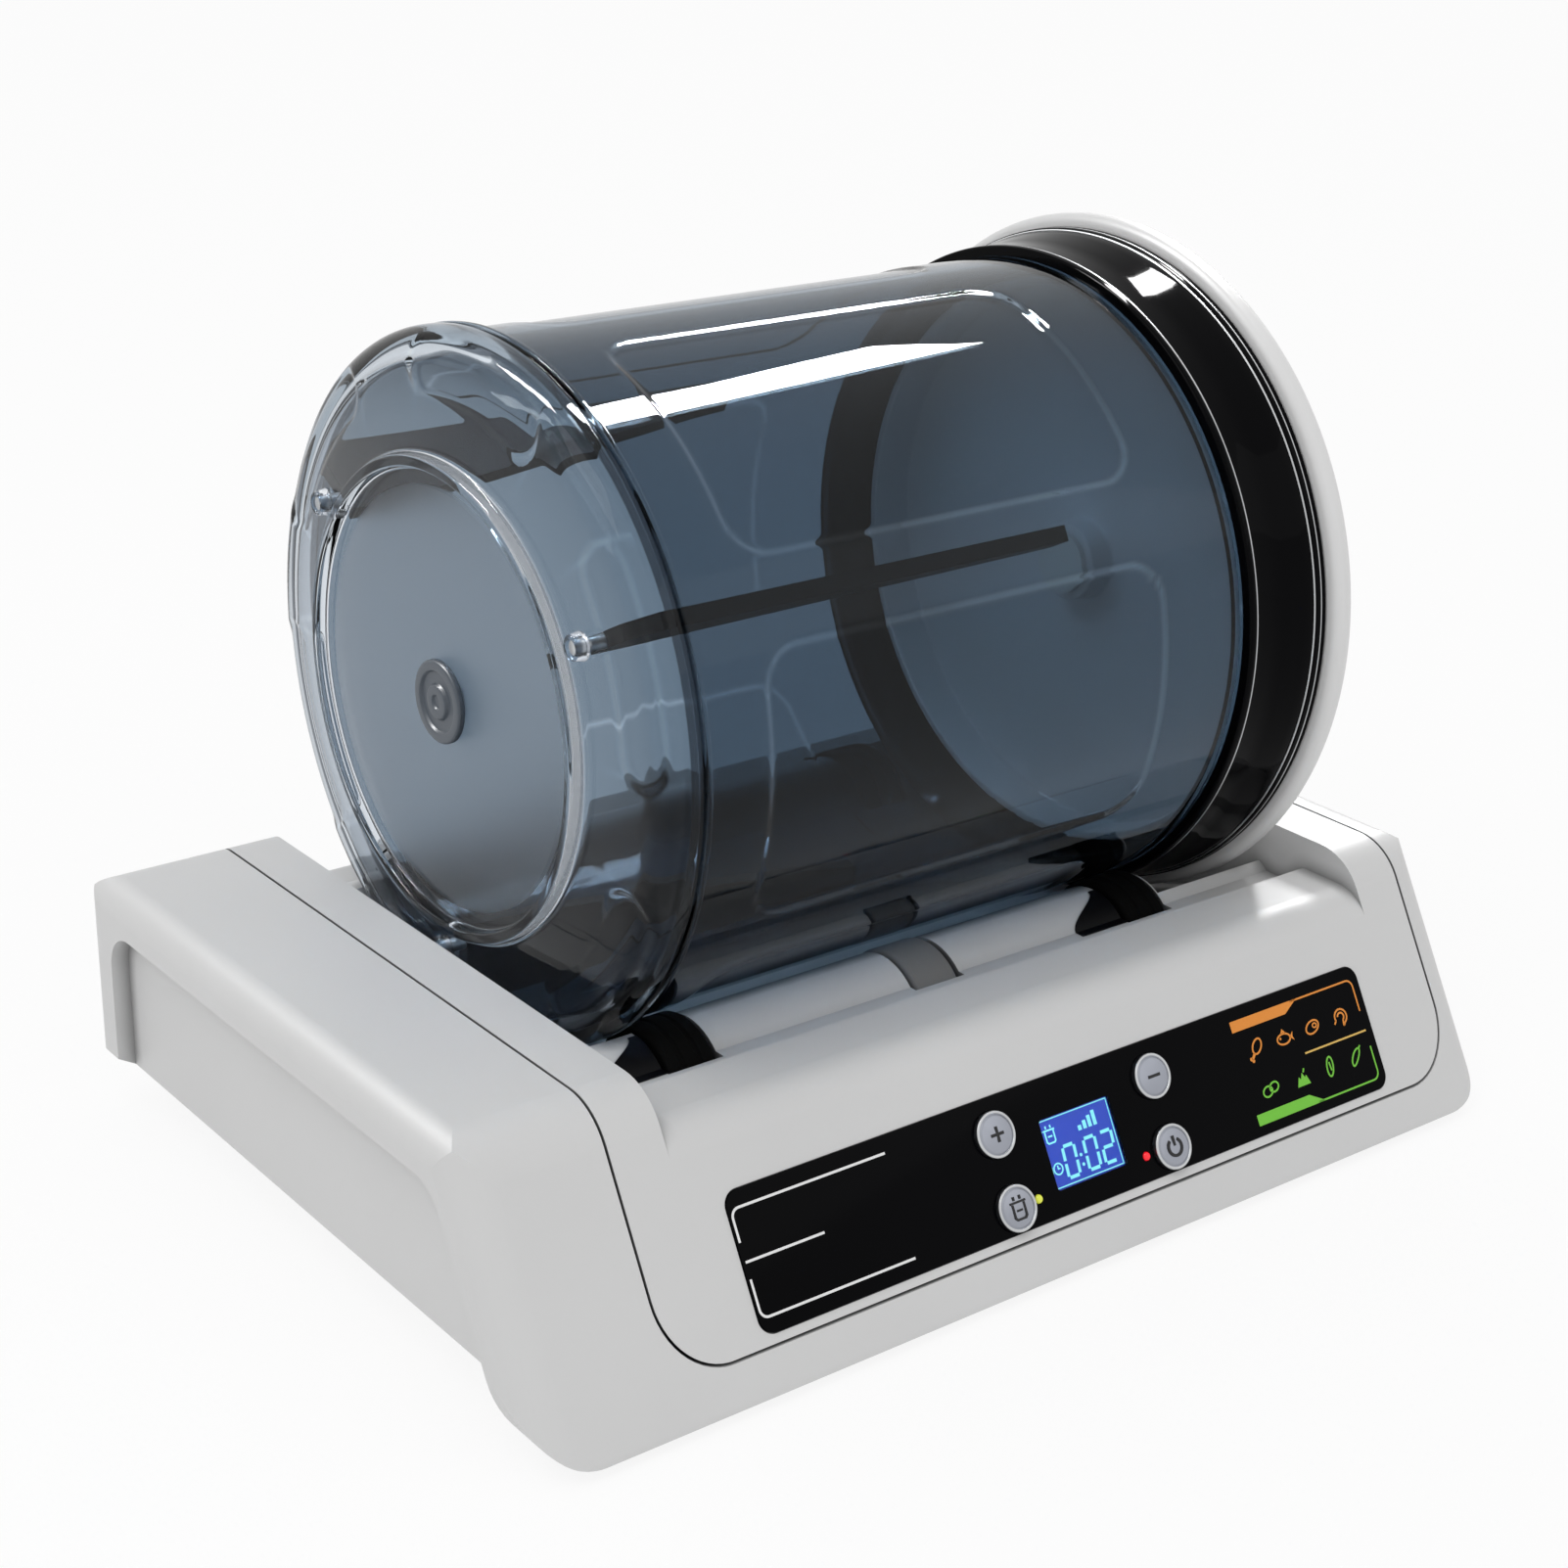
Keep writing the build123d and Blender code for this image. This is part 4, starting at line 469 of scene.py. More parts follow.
def noise(tree, scale, detail):
    """Noise in object coordinates; scale is waves per metre."""
    place = node(tree, "TexCoord").outputs["Object"]
    return node(tree, "TexNoise", {"Vector": place, "Scale": scale, "Detail": detail}).outputs["Fac"]


def add_grain(mat):
    """Fine moulded grain."""
    tree = mat.node_tree
    bump = node(tree, "Bump", {
        "Strength": GRAIN_STRENGTH,
        "Distance": GRAIN_HEIGHT * MM,
        "Height": noise(tree, GRAIN_WAVES, GRAIN_DETAIL),
    })
    tree.links.new(bump.outputs["Normal"], shader_input(mat, "Normal"))
    return mat


def add_mottle(mat, color, other, scale):
    """Slow drift between two close colours."""
    tree = mat.node_tree
    ramp = node(tree, "ValToRGB", {"Fac": noise(tree, scale, MOTTLE_DETAIL)})
    for stop, position, tint in zip(ramp.color_ramp.elements, MOTTLE_SPAN, (color, other)):
        stop.position = position
        stop.color = (*tint, 1)
    tree.links.new(ramp.outputs["Color"], shader_input(mat, "Base Color"))
    return mat


def add_smudge(mat, low, high, scale):
    """Roughness that varies slowly, as handled gloss does."""
    tree = mat.node_tree
    drift = noise(tree, scale, SMUDGE_DETAIL)
    span = node(tree, "MapRange", {"Value": drift, "To Min": low, "To Max": high})
    tree.links.new(span.outputs["Result"], shader_input(mat, "Roughness"))
    return mat


def moulded(name, color, roughness, drift=0.97, **values):
    """Moulded plastic: fine grain and a slight drift of colour."""
    mat = principled(name, color, roughness, **values)
    add_mottle(mat, color, [c * drift for c in color], MOULDED_WAVES)
    return add_grain(mat)


def add_crevice(mat):
    """Dark shade in narrow seams and gaps."""
    tree = mat.node_tree
    base = shader_input(mat, "Base Color")
    shade = node(tree, "AmbientOcclusion", {"Color": base.links[0].from_socket, "Distance": CREVICE * MM})
    shade.samples = CREVICE_SAMPLES
    tree.links.new(shade.outputs["Color"], base)
    return mat


def gloss(name, color, low, high, **values):
    """Polished plastic with faint smudges."""
    mat = principled(name, color, low, **values)
    add_mottle(mat, color, [c * GLOSS_DRIFT for c in color], GLOSS_WAVES)
    return add_smudge(mat, low, high, SMUDGE_WAVES)


def metal(name, color, roughness):
    """Ground metal with slight streaks."""
    mat = principled(name, color, roughness, Metallic=1.0)
    add_mottle(mat, color, [c * METAL_DRIFT for c in color], METAL_WAVES)
    low, high = [roughness * share for share in METAL_ROUGH_SPAN]
    return add_smudge(mat, low, high, STREAK_WAVES)


def add_haze(mat):
    """Makes the drum's end satin inside the foot ring."""
    tree = mat.node_tree
    rough = shader_input(mat, "Roughness")
    place = node(tree, "TexCoord").outputs["Object"]
    flat = node(tree, "VectorMath", {0: place, 1: (0, 1, 1)}, "MULTIPLY")
    axis = (0, DRUM_AXIS[1] * MM, DRUM_AXIS[2] * MM)
    reach = node(tree, "VectorMath", {0: flat.outputs["Vector"], 1: axis}, "DISTANCE")
    haze = node(tree, "MapRange", {
        "Value": reach.outputs["Value"],
        "From Min": (HAZE_RADIUS - HAZE_EDGE) * MM,
        "From Max": HAZE_RADIUS * MM,
        "To Min": HAZE,
        "To Max": 0.0,
    })
    most = node(tree, "Math", {0: haze.outputs["Result"], 1: rough.links[0].from_socket}, "MAXIMUM")
    tree.links.new(most.outputs[0], rough)
    return mat


def smoke_tint(tree):
    """Colour along the drum: pale end cap as painted reflection, dark groove as painted shade, deeper body."""
    first = SMOKE_STOPS[0][0]
    last = SMOKE_STOPS[-1][0]
    place = node(tree, "TexCoord").outputs["Object"]
    along = node(tree, "SeparateXYZ", {"Vector": place}).outputs["X"]
    span = node(tree, "MapRange", {"Value": along, "From Min": first * MM, "From Max": last * MM})
    ramp = node(tree, "ValToRGB", {"Fac": span.outputs["Result"]})
    ramp.color_ramp.elements[0].color = (*SMOKE_STOPS[0][1], 1)
    ramp.color_ramp.elements[1].color = (*SMOKE_STOPS[-1][1], 1)
    for x, color in SMOKE_STOPS[1:-1]:
        ramp.color_ramp.elements.new((x - first) / (last - first)).color = (*color, 1)
    return ramp.outputs["Color"]


def with_painted_highlights(tree, color):
    """The colour made paler along the lines that the mesh marks: painted highlights on the edges of panels and
    flutes.
    """
    painted_highlight = node(tree, "Attribute")
    painted_highlight.attribute_name = "painted_highlight"
    mix = node(tree, "MixRGB", {"Fac": painted_highlight.outputs["Fac"], "Color1": color, "Color2": (*SMOKE_HIGHLIGHT, 1)})
    mix.blend_type = "ADD"
    return mix.outputs["Color"]


def with_deep_edges(tree, color):
    """The colour made deeper where the wall is looked along, as thick clear plastic is."""
    facing = node(tree, "LayerWeight").outputs["Facing"]
    depth = node(tree, "Math", {0: facing, 1: EDGE_POWER}, "POWER")
    mix = node(tree, "MixRGB", {"Fac": depth.outputs[0], "Color1": color, "Color2": (*SMOKE_EDGE, 1)})
    return mix.outputs["Color"]


def smoke():
    """Clear smoke-tinted plastic of the drum."""
    mat = principled("smoke_clear", SMOKE_BODY, SMOKE_ROUGHNESS, Transmission_Weight=1.0, IOR=SMOKE_IOR)
    tree = mat.node_tree
    color = with_deep_edges(tree, with_painted_highlights(tree, smoke_tint(tree)))
    tree.links.new(color, shader_input(mat, "Base Color"))
    return add_haze(add_smudge(mat, 0.0, SMOKE_ROUGHNESS, SMOKE_WAVES))


def lit(name, color, strength):
    """Coloured surface that glows a little."""
    return gloss(name, color, *LIT_ROUGH_SPAN, Emission_Color=(*color, 1), Emission_Strength=strength)


def make_materials():
    """One material for each slot of the record, and the inks of the panel."""
    window = principled("clear_window", (0.9, 0.95, 1.0), 0.04, Transmission_Weight=1.0, IOR=1.12)
    return {
        "light_grey": add_crevice(moulded("light_grey", (0.63, 0.63, 0.63), 0.45)),
        "lid_grey": moulded("lid_grey", (0.70, 0.70, 0.70), 0.40),
        "smoke_clear": smoke(),
        "gloss_black": gloss("gloss_black", (0.001, 0.001, 0.0015), 0.04, 0.08, Specular_IOR_Level=0.04),
        "black_plastic": moulded("black_plastic", (0.002, 0.002, 0.003), 0.45, 0.7, Specular_IOR_Level=0.12),
        "silver_cap": metal("silver_cap", (0.33, 0.345, 0.39), 0.30),
        "black_rubber": moulded("black_rubber", (0.004, 0.004, 0.004), 0.75, 0.7, Specular_IOR_Level=0.05),
        "grey_roller": moulded("grey_roller", (0.20, 0.20, 0.20), 0.65, 0.9),
        "steel": metal("steel", (0.56, 0.57, 0.58), 0.32),
        "brass_pin": metal("brass_pin", (0.72, 0.58, 0.30), 0.25),
        "bronze_bush": metal("bronze_bush", (0.50, 0.34, 0.16), 0.40),
        "white_nylon": moulded("white_nylon", (0.80, 0.80, 0.76), 0.40),
        "motor_can": metal("motor_can", (0.52, 0.53, 0.54), 0.38),
        "pump_case": moulded("pump_case", (0.02, 0.02, 0.022), 0.5, 0.8),
        "plug_grey": moulded("plug_grey", (0.06, 0.075, 0.095), 0.35),
        "silicone": moulded("silicone", (0.70, 0.70, 0.66), 0.45),
        "board_green": moulded("board_green", (0.01, 0.09, 0.03), 0.35, 0.8),
        "display_blue": lit("display_blue", (0.008, 0.045, 0.44), 0.45),
        "clear_window": add_smudge(window, 0.03, 0.08, WINDOW_WAVES),
        "led_red": lit("led_red", (0.75, 0.01, 0.02), 0.6),
        "led_green": lit("led_green", (0.62, 0.66, 0.06), 0.4),
        "ink_white": moulded("ink_white", (0.82, 0.82, 0.82), 0.5),
        "ink_orange": moulded("ink_orange", (0.78, 0.26, 0.02), 0.5),
        "ink_gold": moulded("ink_gold", (0.72, 0.46, 0.10), 0.5),
        "ink_green": moulded("ink_green", (0.16, 0.55, 0.03), 0.5),
        "ink_black": moulded("ink_black", (0.006, 0.006, 0.007), 0.6, 0.7),
        "ink_cyan": lit("ink_cyan", (0.25, 0.78, 0.80), 0.5),
    }


def dress_nodes():
    """Every CAD node takes the material of its slot, or a closer look of its own."""
    for part in frame["record"]["subparts"]:
        mesh = nodes[part["node"]].data
        mesh.materials.clear()
        mesh.materials.append(materials[NODE_LOOKS.get(part["node"], part["material_slot"])])


def new_piece(name, body, slot, verts, faces, sharp=SHARP_DEG, look=None):
    """Mesh piece from points in millimetres that rides a body, its faces turned outwards."""
    mesh = bpy.data.meshes.new(name)
    mesh.from_pydata([Vector(v) * MM for v in verts], [], faces)
    shape = bmesh.new()
    shape.from_mesh(mesh)
    bmesh.ops.remove_doubles(shape, verts=shape.verts, dist=MERGE * MM)
    bmesh.ops.recalc_face_normals(shape, faces=shape.faces)
    shape.to_mesh(mesh)
    shape.free()
    mesh.shade_smooth()
    mesh.set_sharp_from_angle(angle=math.radians(sharp))
    mesh.materials.append(materials[look or slot])
    piece = bpy.data.objects.new(name, mesh)
    scene.collection.objects.link(piece)
    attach(piece, body)
    return piece


def rounded(corners):
    """Chain through (a, r, radius) corners, each turned by an arc of its radius; the ends stay sharp."""
    points = [Vector(corners[0][:2])]
    for before, corner, after in zip(corners, corners[1:], corners[2:]):
        here = Vector(corner[:2])
        back = (Vector(before[:2]) - here).normalized()
        ahead = (Vector(after[:2]) - here).normalized()
        half = back.angle(ahead) / 2
        centre = here + (back + ahead).normalized() * (corner[2] / math.sin(half))
        reach = corner[2] / math.tan(half)
        start = here + back * reach - centre
        end = here + ahead * reach - centre
        first = math.atan2(start.y, start.x)
        sweep = (math.atan2(end.y, end.x) - first + math.pi) % (2 * math.pi) - math.pi
        steps = ARC_STEPS + int(abs(sweep) * corner[2] / ARC_CHORD)
        for step in range(steps + 1):
            angle = first + sweep * step / steps
            points.append(centre + corner[2] * Vector((math.cos(angle), math.sin(angle))))
    points.append(Vector(corners[-1][:2]))
    return points


def divided(points, limit):
    """The same chain with no step longer than a limit."""
    result = [points[0]]
    for start, end in zip(points, points[1:]):
        count = max(1, math.ceil((end - start).length / limit))
        result += [start.lerp(end, step / count) for step in range(1, count + 1)]
    return result


def braced(points):
    """The same chain with a point near both ends of each long step, so that flat stretches shade flat."""
    result = [points[0]]
    for start, end in zip(points, points[1:]):
        share = BRACE / (end - start).length
        if share < BRACE_SHARE:
            result += [start.lerp(end, share), end.lerp(start, share)]
        result.append(end)
    return result


def around_x(y, z):
    """Places a turned outline about an axis along X; angles run up from the panel side."""
    return lambda a, u, v: (a, y - u, z + v)


def on_slope(x, t, h):
    """Point of the front slope: x along it, t up it, h above it."""
    slope = math.radians(SLOPE_DEG)
    y = SLOPE_FOOT[1] + t * math.cos(slope) - h * math.sin(slope)
    return (x, y, SLOPE_FOOT[2] + t * math.sin(slope) + h * math.cos(slope))


def above_slope(x, t):
    """Places a turned outline about the slope's normal at a point of the slope."""
    return lambda a, u, v: on_slope(x + u, t + v, a)


def grid_faces(rows, count, closed):
    """Quads over rings of points; closed joins each ring's last point to its first."""
    faces = []
    for row in range(rows):
        here = row * count
        there = (row + 1) % rows * count
        for k in range(count if closed else count - 1):
            after = (k + 1) % count
            faces.append((here + k, here + after, there + after, there + k))
    return faces


def lathe(outline, place, segments=LATHE_SEGMENTS, closed=True):
    """Points and faces of an outline in (a, r) turned about an axis."""
    verts = []
    for turn in range(segments):
        angle = 2 * math.pi * turn / segments
        verts += [place(a, r * math.cos(angle), r * math.sin(angle)) for a, r in outline]
    return verts, grid_faces(segments, len(outline), closed)


def smooth(value):
    """Soft step from 0 to 1."""
    value = min(max(value, 0.0), 1.0)
    return value * value * (3 - 2 * value)


def rounded_box(along, across, half_length, half_width, radius):
    """Distance outside a rounded rectangle, negative inside it."""
    dx = abs(along) - half_length + radius
    dy = abs(across) - half_width + radius
    return math.hypot(max(dx, 0), max(dy, 0)) + min(max(dx, dy), 0) - radius


def off_centre(degrees, first, count):
    """Degrees from the nearest of several evenly spaced places round the drum."""
    pitch = 360 / count
    return (degrees - first + pitch / 2) % pitch - pitch / 2


def panel_distance(x, degrees):
    """Distance outside the nearest pressed panel at a place on the drum body."""
    across = math.radians(off_centre(degrees, PANEL_FIRST_DEG, PANEL_COUNT)) * DRUM_RADIUS
    half_width = math.radians(PANEL_SPAN_DEG / 2) * DRUM_RADIUS
    middle = (PANEL_LEFT + PANEL_RIGHT) / 2
    return rounded_box(x - middle, across, (PANEL_RIGHT - PANEL_LEFT) / 2, half_width, PANEL_CORNER)


def panel_press(x, degrees):
    """Depth of the pressed panels at a place on the drum body."""
    return PANEL_DEPTH * smooth(0.5 - panel_distance(x, degrees) / PANEL_EDGE)


def flute_distance(radius, degrees):
    """Distance outside the nearest scooped flute at a place on the drum's shoulder."""
    along = math.radians(off_centre(degrees, FLUTE_FIRST_DEG, FLUTE_COUNT)) * FLUTE_RADIUS
    half_length = math.radians(FLUTE_SPAN_DEG / 2) * FLUTE_RADIUS
    across = radius - FLUTE_RADIUS
    return rounded_box(along, across, half_length, FLUTE_HALF_WIDTH, FLUTE_HALF_WIDTH)


def flute_press(radius, degrees):
    """Depth of the scooped flutes at a place on the drum's shoulder."""
    return FLUTE_DEPTH * smooth(0.5 - flute_distance(radius, degrees) / FLUTE_EDGE)


def add_painted_highlights(mesh):
    """Marks the edges of panels and flutes with painted highlights for the smoke material."""
    painted_highlight = []
    for vertex in mesh.vertices:
        x, y, z = vertex.co / MM
        up = z - DRUM_AXIS[2]
        front = DRUM_AXIS[1] - y
        radius = math.hypot(up, front)
        degrees = math.degrees(math.atan2(up, front))
        value = 0.0
        if x > PANEL_LEFT - PANEL_EDGE and radius > DRUM_RADIUS - DRUM_WALL / 2:
            value = 1 - abs(panel_distance(x, degrees)) / HIGHLIGHT_HALF_WIDTH
        elif x < FLUTE_RIGHT and radius > FLUTE_LOW:
            value = FLUTE_HIGHLIGHT - abs(flute_distance(radius, degrees)) / HIGHLIGHT_HALF_WIDTH
        painted_highlight.append(max(value, 0.0))
    mesh.attributes.new("painted_highlight", "FLOAT", "POINT").data.foreach_set("value", painted_highlight)


def drum_outside():
    """Outer section of the drum, from the hub hole over foot ring, shoulder and rib to the neck."""
    end = rounded([
        (DRUM_END + DRUM_WALL, HUB_HOLE),
        (DRUM_END, HUB_HOLE, 0.4),
        (DRUM_END, FOOT_INNER, 1.0),
        (DRUM_FOOT, FOOT_INNER_TOP, 0.9),
        (DRUM_FOOT, FOOT_OUTER_TOP, 1.1),
        (DRUM_END + SHOULDER_STEP, FOOT_OUTER, 2.0),
        (SHOULDER_X, RIB_RADIUS, SHOULDER_BEND),
        (GROOVE_LEFT, RIB_RADIUS, 0.5),
        (GROOVE_LEFT + GROOVE_SLANT, RIB_RADIUS - GROOVE_DEPTH, 0.3),
        (GROOVE_RIGHT - GROOVE_SLANT, RIB_RADIUS - GROOVE_DEPTH, 0.3),
        (GROOVE_RIGHT, RIB_RADIUS, 0.5),
        (RIB_RIGHT, RIB_RADIUS, 1.0),
        (RIB_FOOT, DRUM_RADIUS, 1.2),
        (PANEL_LEFT - PANEL_EDGE, DRUM_RADIUS),
    ])
    left_end = Vector((PANEL_LEFT + PANEL_ROWS_REACH, DRUM_RADIUS))
    left = divided([end[-1], left_end], PANEL_ROW)
    right_start = Vector((PANEL_RIGHT - PANEL_ROWS_REACH, DRUM_RADIUS))
    right = divided([right_start, Vector((PANEL_RIGHT + PANEL_EDGE, DRUM_RADIUS))], PANEL_ROW)
    neck = rounded([
        right[-1],
        (NECK_LEFT, DRUM_RADIUS, 0.3),
        (NECK_LEFT, NECK_RADIUS, 0.3),
        (NECK_RIGHT, NECK_RADIUS, 0.5),
        (NECK_RIGHT, NECK_INNER + MOUTH_BEVEL),
    ])
    low = sum(point.y < FLUTE_LOW for point in end)
    shoulder = divided(end[low - 1:-1], ROW_STEP)
    return braced(end[:low - 1] + shoulder + left + right + neck[1:])


def drum_inside():
    """Inner section of the drum, from the mouth back to the hub hole."""
    return rounded([
        (NECK_RIGHT - MOUTH_BEVEL, NECK_INNER),
        (NECK_LEFT, NECK_INNER, 2.0),
        (NECK_LEFT - DRUM_WALL, DRUM_RADIUS - DRUM_WALL, 2.0),
        (INNER_SHOULDER_X, DRUM_RADIUS - DRUM_WALL, INNER_SHOULDER_BEND),
        (DRUM_END + DRUM_WALL, INNER_END_RADIUS, INNER_END_BEND),
        (DRUM_END + DRUM_WALL, HUB_HOLE + HUB_BEVEL),
    ])


def drum_angles():
    """Degrees of the drum's lines of points, close together at the ends of panels and flutes."""
    angles = [0.0]
    while angles[-1] < 360:
        panel = abs(off_centre(angles[-1], PANEL_FIRST_DEG, PANEL_COUNT)) - PANEL_SPAN_DEG / 2
        flute = abs(off_centre(angles[-1], FLUTE_FIRST_DEG, FLUTE_COUNT)) - FLUTE_SPAN_DEG / 2
        near = min(abs(panel), abs(flute)) < FINE_REACH_DEG
        angles.append(angles[-1] + (FINE_DEG if near else COARSE_DEG))
    return angles[:-1]


def drum_skin():
    """Clear drum with pressed panels and scooped flutes."""
    outside = drum_outside()
    inside = braced(drum_inside())
    verts = []
    angles = drum_angles()
    for degrees in angles:
        cosine = math.cos(math.radians(degrees))
        sine = math.sin(math.radians(degrees))
        for k, (x, radius) in enumerate(outside):
            if x > PANEL_LEFT - PANEL_EDGE:
                radius -= panel_press(x, degrees)
            elif FLUTE_LOW < radius and x < FLUTE_RIGHT:
                depth = flute_press(radius, degrees)
                tangent = (outside[k + 1] - outside[k - 1]).normalized()
                x += depth * tangent.y
                radius -= depth * tangent.x
            verts.append(DRUM_PLACE(x, radius * cosine, radius * sine))
        verts += [DRUM_PLACE(x, radius * cosine, radius * sine) for x, radius in inside]
    faces = grid_faces(len(angles), len(outside) + len(inside), True)
    skin = new_piece("drum_skin", "drum", "smoke_clear", verts, faces)
    add_painted_highlights(skin.data)
    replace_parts(skin, "drum_shell")


def boss_places():
    """Places of the baffles' pins on the drum's end, as (y, z)."""
    for degrees in BAFFLE_DEGREES:
        angle = math.radians(degrees)
        yield DRUM_PLACE(0, PIN_RING * math.cos(angle), PIN_RING * math.sin(angle))[1:]


def drum_bosses():
    """Small sleeves round the pins on the drum's end."""
    outline = rounded([
        (DRUM_END + SLEEVE_SUNK, SLEEVE_BORE),
        (DRUM_END + SLEEVE_SUNK, SLEEVE_FOOT, 0.2),
        (DRUM_END - SLEEVE_HEIGHT, SLEEVE_TOP, 0.7),
        (DRUM_END - SLEEVE_HEIGHT, SLEEVE_BORE, 0.4),
        (DRUM_END + 1.0, SLEEVE_BORE),
    ])
    for number, (y, z) in enumerate(boss_places(), start=1):
        shape = lathe(outline, around_x(y, z), SLEEVE_SEGMENTS)
        new_piece(f"pin_sleeve_{number}", "drum", "smoke_clear", *shape)


def hub_plug():
    """Rubber plug with a raised rim and button in the drum's end."""
    outline = rounded([
        (DRUM_END + 4.0, 0),
        (DRUM_END + 4.0, PLUG_STEM, 0.5),
        (DRUM_END, PLUG_STEM, 0.2),
        (DRUM_END, PLUG_RADIUS, 0.3),
        (DRUM_END - 2.2, PLUG_RADIUS, 0.9),
        (DRUM_END - 2.2, 9.8, 0.6),
        (DRUM_END - 1.2, 9.2, 0.4),
        (DRUM_END - 1.2, 5.8, 0.4),
        (DRUM_END - 2.4, 5.2, 0.6),
        (DRUM_END - 2.4, 2.4, 0.4),
        (DRUM_END - 1.7, 1.9, 0.3),
        (DRUM_END - 1.7, 0),
    ])
    shape = lathe(outline, DRUM_PLACE, SMALL_SEGMENTS, False)
    plug = new_piece("hub_plug", "drum", "black_rubber", *shape, look="plug_grey")
    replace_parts(plug, "drum_hub_plug")


def collar():
    """Flared glossy collar with a bead at the drum and a double lip at the lid."""
    outline = rounded([
        (NECK_LEFT + COLLAR_GAP, NECK_RADIUS + COLLAR_GAP),
        (NECK_LEFT + COLLAR_GAP, 111.3, 0.9),
        (NECK_LEFT + 2.3, 111.6, 0.9),
        (NECK_LEFT + 3.2, 110.7, 0.8),
        (NECK_LEFT + 12.0, 111.2, 40.0),
        (NECK_LEFT + 25.0, 113.8, 30.0),
        (NECK_LEFT + 26.4, 113.8, 0.4),
        (NECK_LEFT + 26.8, 114.6, 0.4),
        (NECK_LEFT + 28.3, COLLAR_LIP, 0.6),
        (NECK_LEFT + 28.8, 114.2, 0.3),
        (NECK_LEFT + 29.3, COLLAR_LIP, 0.4),
        (NECK_LEFT + COLLAR_LENGTH, COLLAR_LIP, 0.8),
        (NECK_LEFT + COLLAR_LENGTH, NECK_RADIUS + COLLAR_GAP),
    ])
    ring = new_piece("collar_ring", "drum", "gloss_black", *lathe(outline, DRUM_PLACE))
    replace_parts(ring, "drum_collar")
    # Thin steel wires that paint the highlights of the bead and the double lip
    for number, (x, radius) in enumerate(COLLAR_HIGHLIGHTS, start=1):
        wire = [(x + WIRE * math.cos(a), radius + WIRE * math.sin(a)) for a in WIRE_ANGLES]
        new_piece(f"collar_highlight_{number}", "drum", "steel", *lathe(wire, DRUM_PLACE))


def lid():
    """Lid with a soft rim, a bayonet skirt and a hand recess for its grip bar."""
    outline = rounded([
        (LID_LEFT - VALVE_BOSS_DEPTH, VALVE_BORE),
        (LID_LEFT - VALVE_BOSS_DEPTH, VALVE_BOSS, 0.8),
        (LID_LEFT, VALVE_BOSS, 1.5),
        (LID_LEFT, SKIRT_INNER, 1.0),
        (LID_LEFT - SKIRT_LENGTH, SKIRT_INNER, 0.8),
        (LID_LEFT - SKIRT_LENGTH, SKIRT_OUTER, 0.8),
        (LID_LEFT, SKIRT_OUTER, 0.5),
        (LID_LEFT, LID_RADIUS, 3.0),
        (LID_RIGHT, LID_RADIUS, 4.5),
        (LID_RIGHT, RIM_GROOVE + 1.5, 1.0),
        (LID_RIGHT - 0.8, RIM_GROOVE + 0.7, 0.6),
        (LID_RIGHT - 0.8, RIM_GROOVE - 0.7, 0.6),
        (LID_RIGHT, RIM_GROOVE - 1.5, 1.0),
        (LID_RIGHT, POCKET_RADIUS, 1.4),
        (POCKET_FLOOR, POCKET_RADIUS - 1.0, 1.6),
        (POCKET_FLOOR, VALVE_BORE),
    ])
    shell = new_piece("lid_shell", "lid", "lid_grey", *lathe(outline, DRUM_PLACE))
    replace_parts(shell, "drum_lid")


def lid_grip():
    """Waisted grip bar across the lid's hand recess, bored for the valve."""
    reach = POCKET_RADIUS + GRIP_DROP
    outline = []
    for side in (-1, 1):
        for step in range(GRIP_STEPS + 1):
            along = 2 * step / GRIP_STEPS - 1
            width = GRIP_HALF_WIDTH - GRIP_WAIST * math.cos(along * math.pi / 2)
            outline.append(Vector((side * width, -side * along * reach)))
    count = len(outline)
    verts = []
    for x in (POCKET_FLOOR - GRIP_DROP, LID_RIGHT - GRIP_DROP):
        verts += [DRUM_PLACE(x, *point) for point in outline]
        verts += [DRUM_PLACE(x, *(point.normalized() * VALVE_BORE)) for point in outline]
    faces = []
    for k in range(count):
        after = (k + 1) % count
        for one, other in ((0, 1), (1, 3), (3, 2), (2, 0)):
            faces.append((one * count + k, one * count + after, other * count + after, other * count + k))
    bar = new_piece("lid_grip", "lid", "lid_grey", verts, faces)
    soften(bar, GRIP_BEVEL)


def soften(piece, width):
    """Rounded edges on a piece whose shape is otherwise right."""
    bevel = piece.modifiers.new("soft_edges", "BEVEL")
    bevel.width = width * MM
    bevel.segments = BEVEL_SEGMENTS
    bevel.limit_method = "ANGLE"
    bevel.angle_limit = math.radians(SHARP_DEG)
    bevel.harden_normals = True


def tyres():
    """Grooved rubber tyres of the four driven rollers."""
    top = ROLLER_RADIUS
    floor = top - TYRE_GROOVE
    corners = [(-ROLLER_HALF_WIDTH, TYRE_INNER), (-ROLLER_HALF_WIDTH, top, TYRE_CORNER)]
    for x in TYRE_GROOVE_XS:
        corners += [(x - 1.0, top, 0.3), (x - 0.5, floor, 0.2)]
        corners += [(x + 0.5, floor, 0.2), (x + 1.0, top, 0.3)]
    corners += [(ROLLER_HALF_WIDTH, top, TYRE_CORNER), (ROLLER_HALF_WIDTH, TYRE_INNER)]
    outline = rounded(corners)
    for row, shaft in ROLLER_SHAFTS.items():
        for side, x in ROLLER_XS.items():
            turned = [(x + a, r) for a, r in outline]
            shape = lathe(turned, around_x(*shaft), TYRE_SEGMENTS)
            tyre = new_piece(f"{row}_{side}_tread", f"{row}_rollers", "black_rubber", *shape)
            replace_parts(tyre, f"{row}_{side}_tyre")


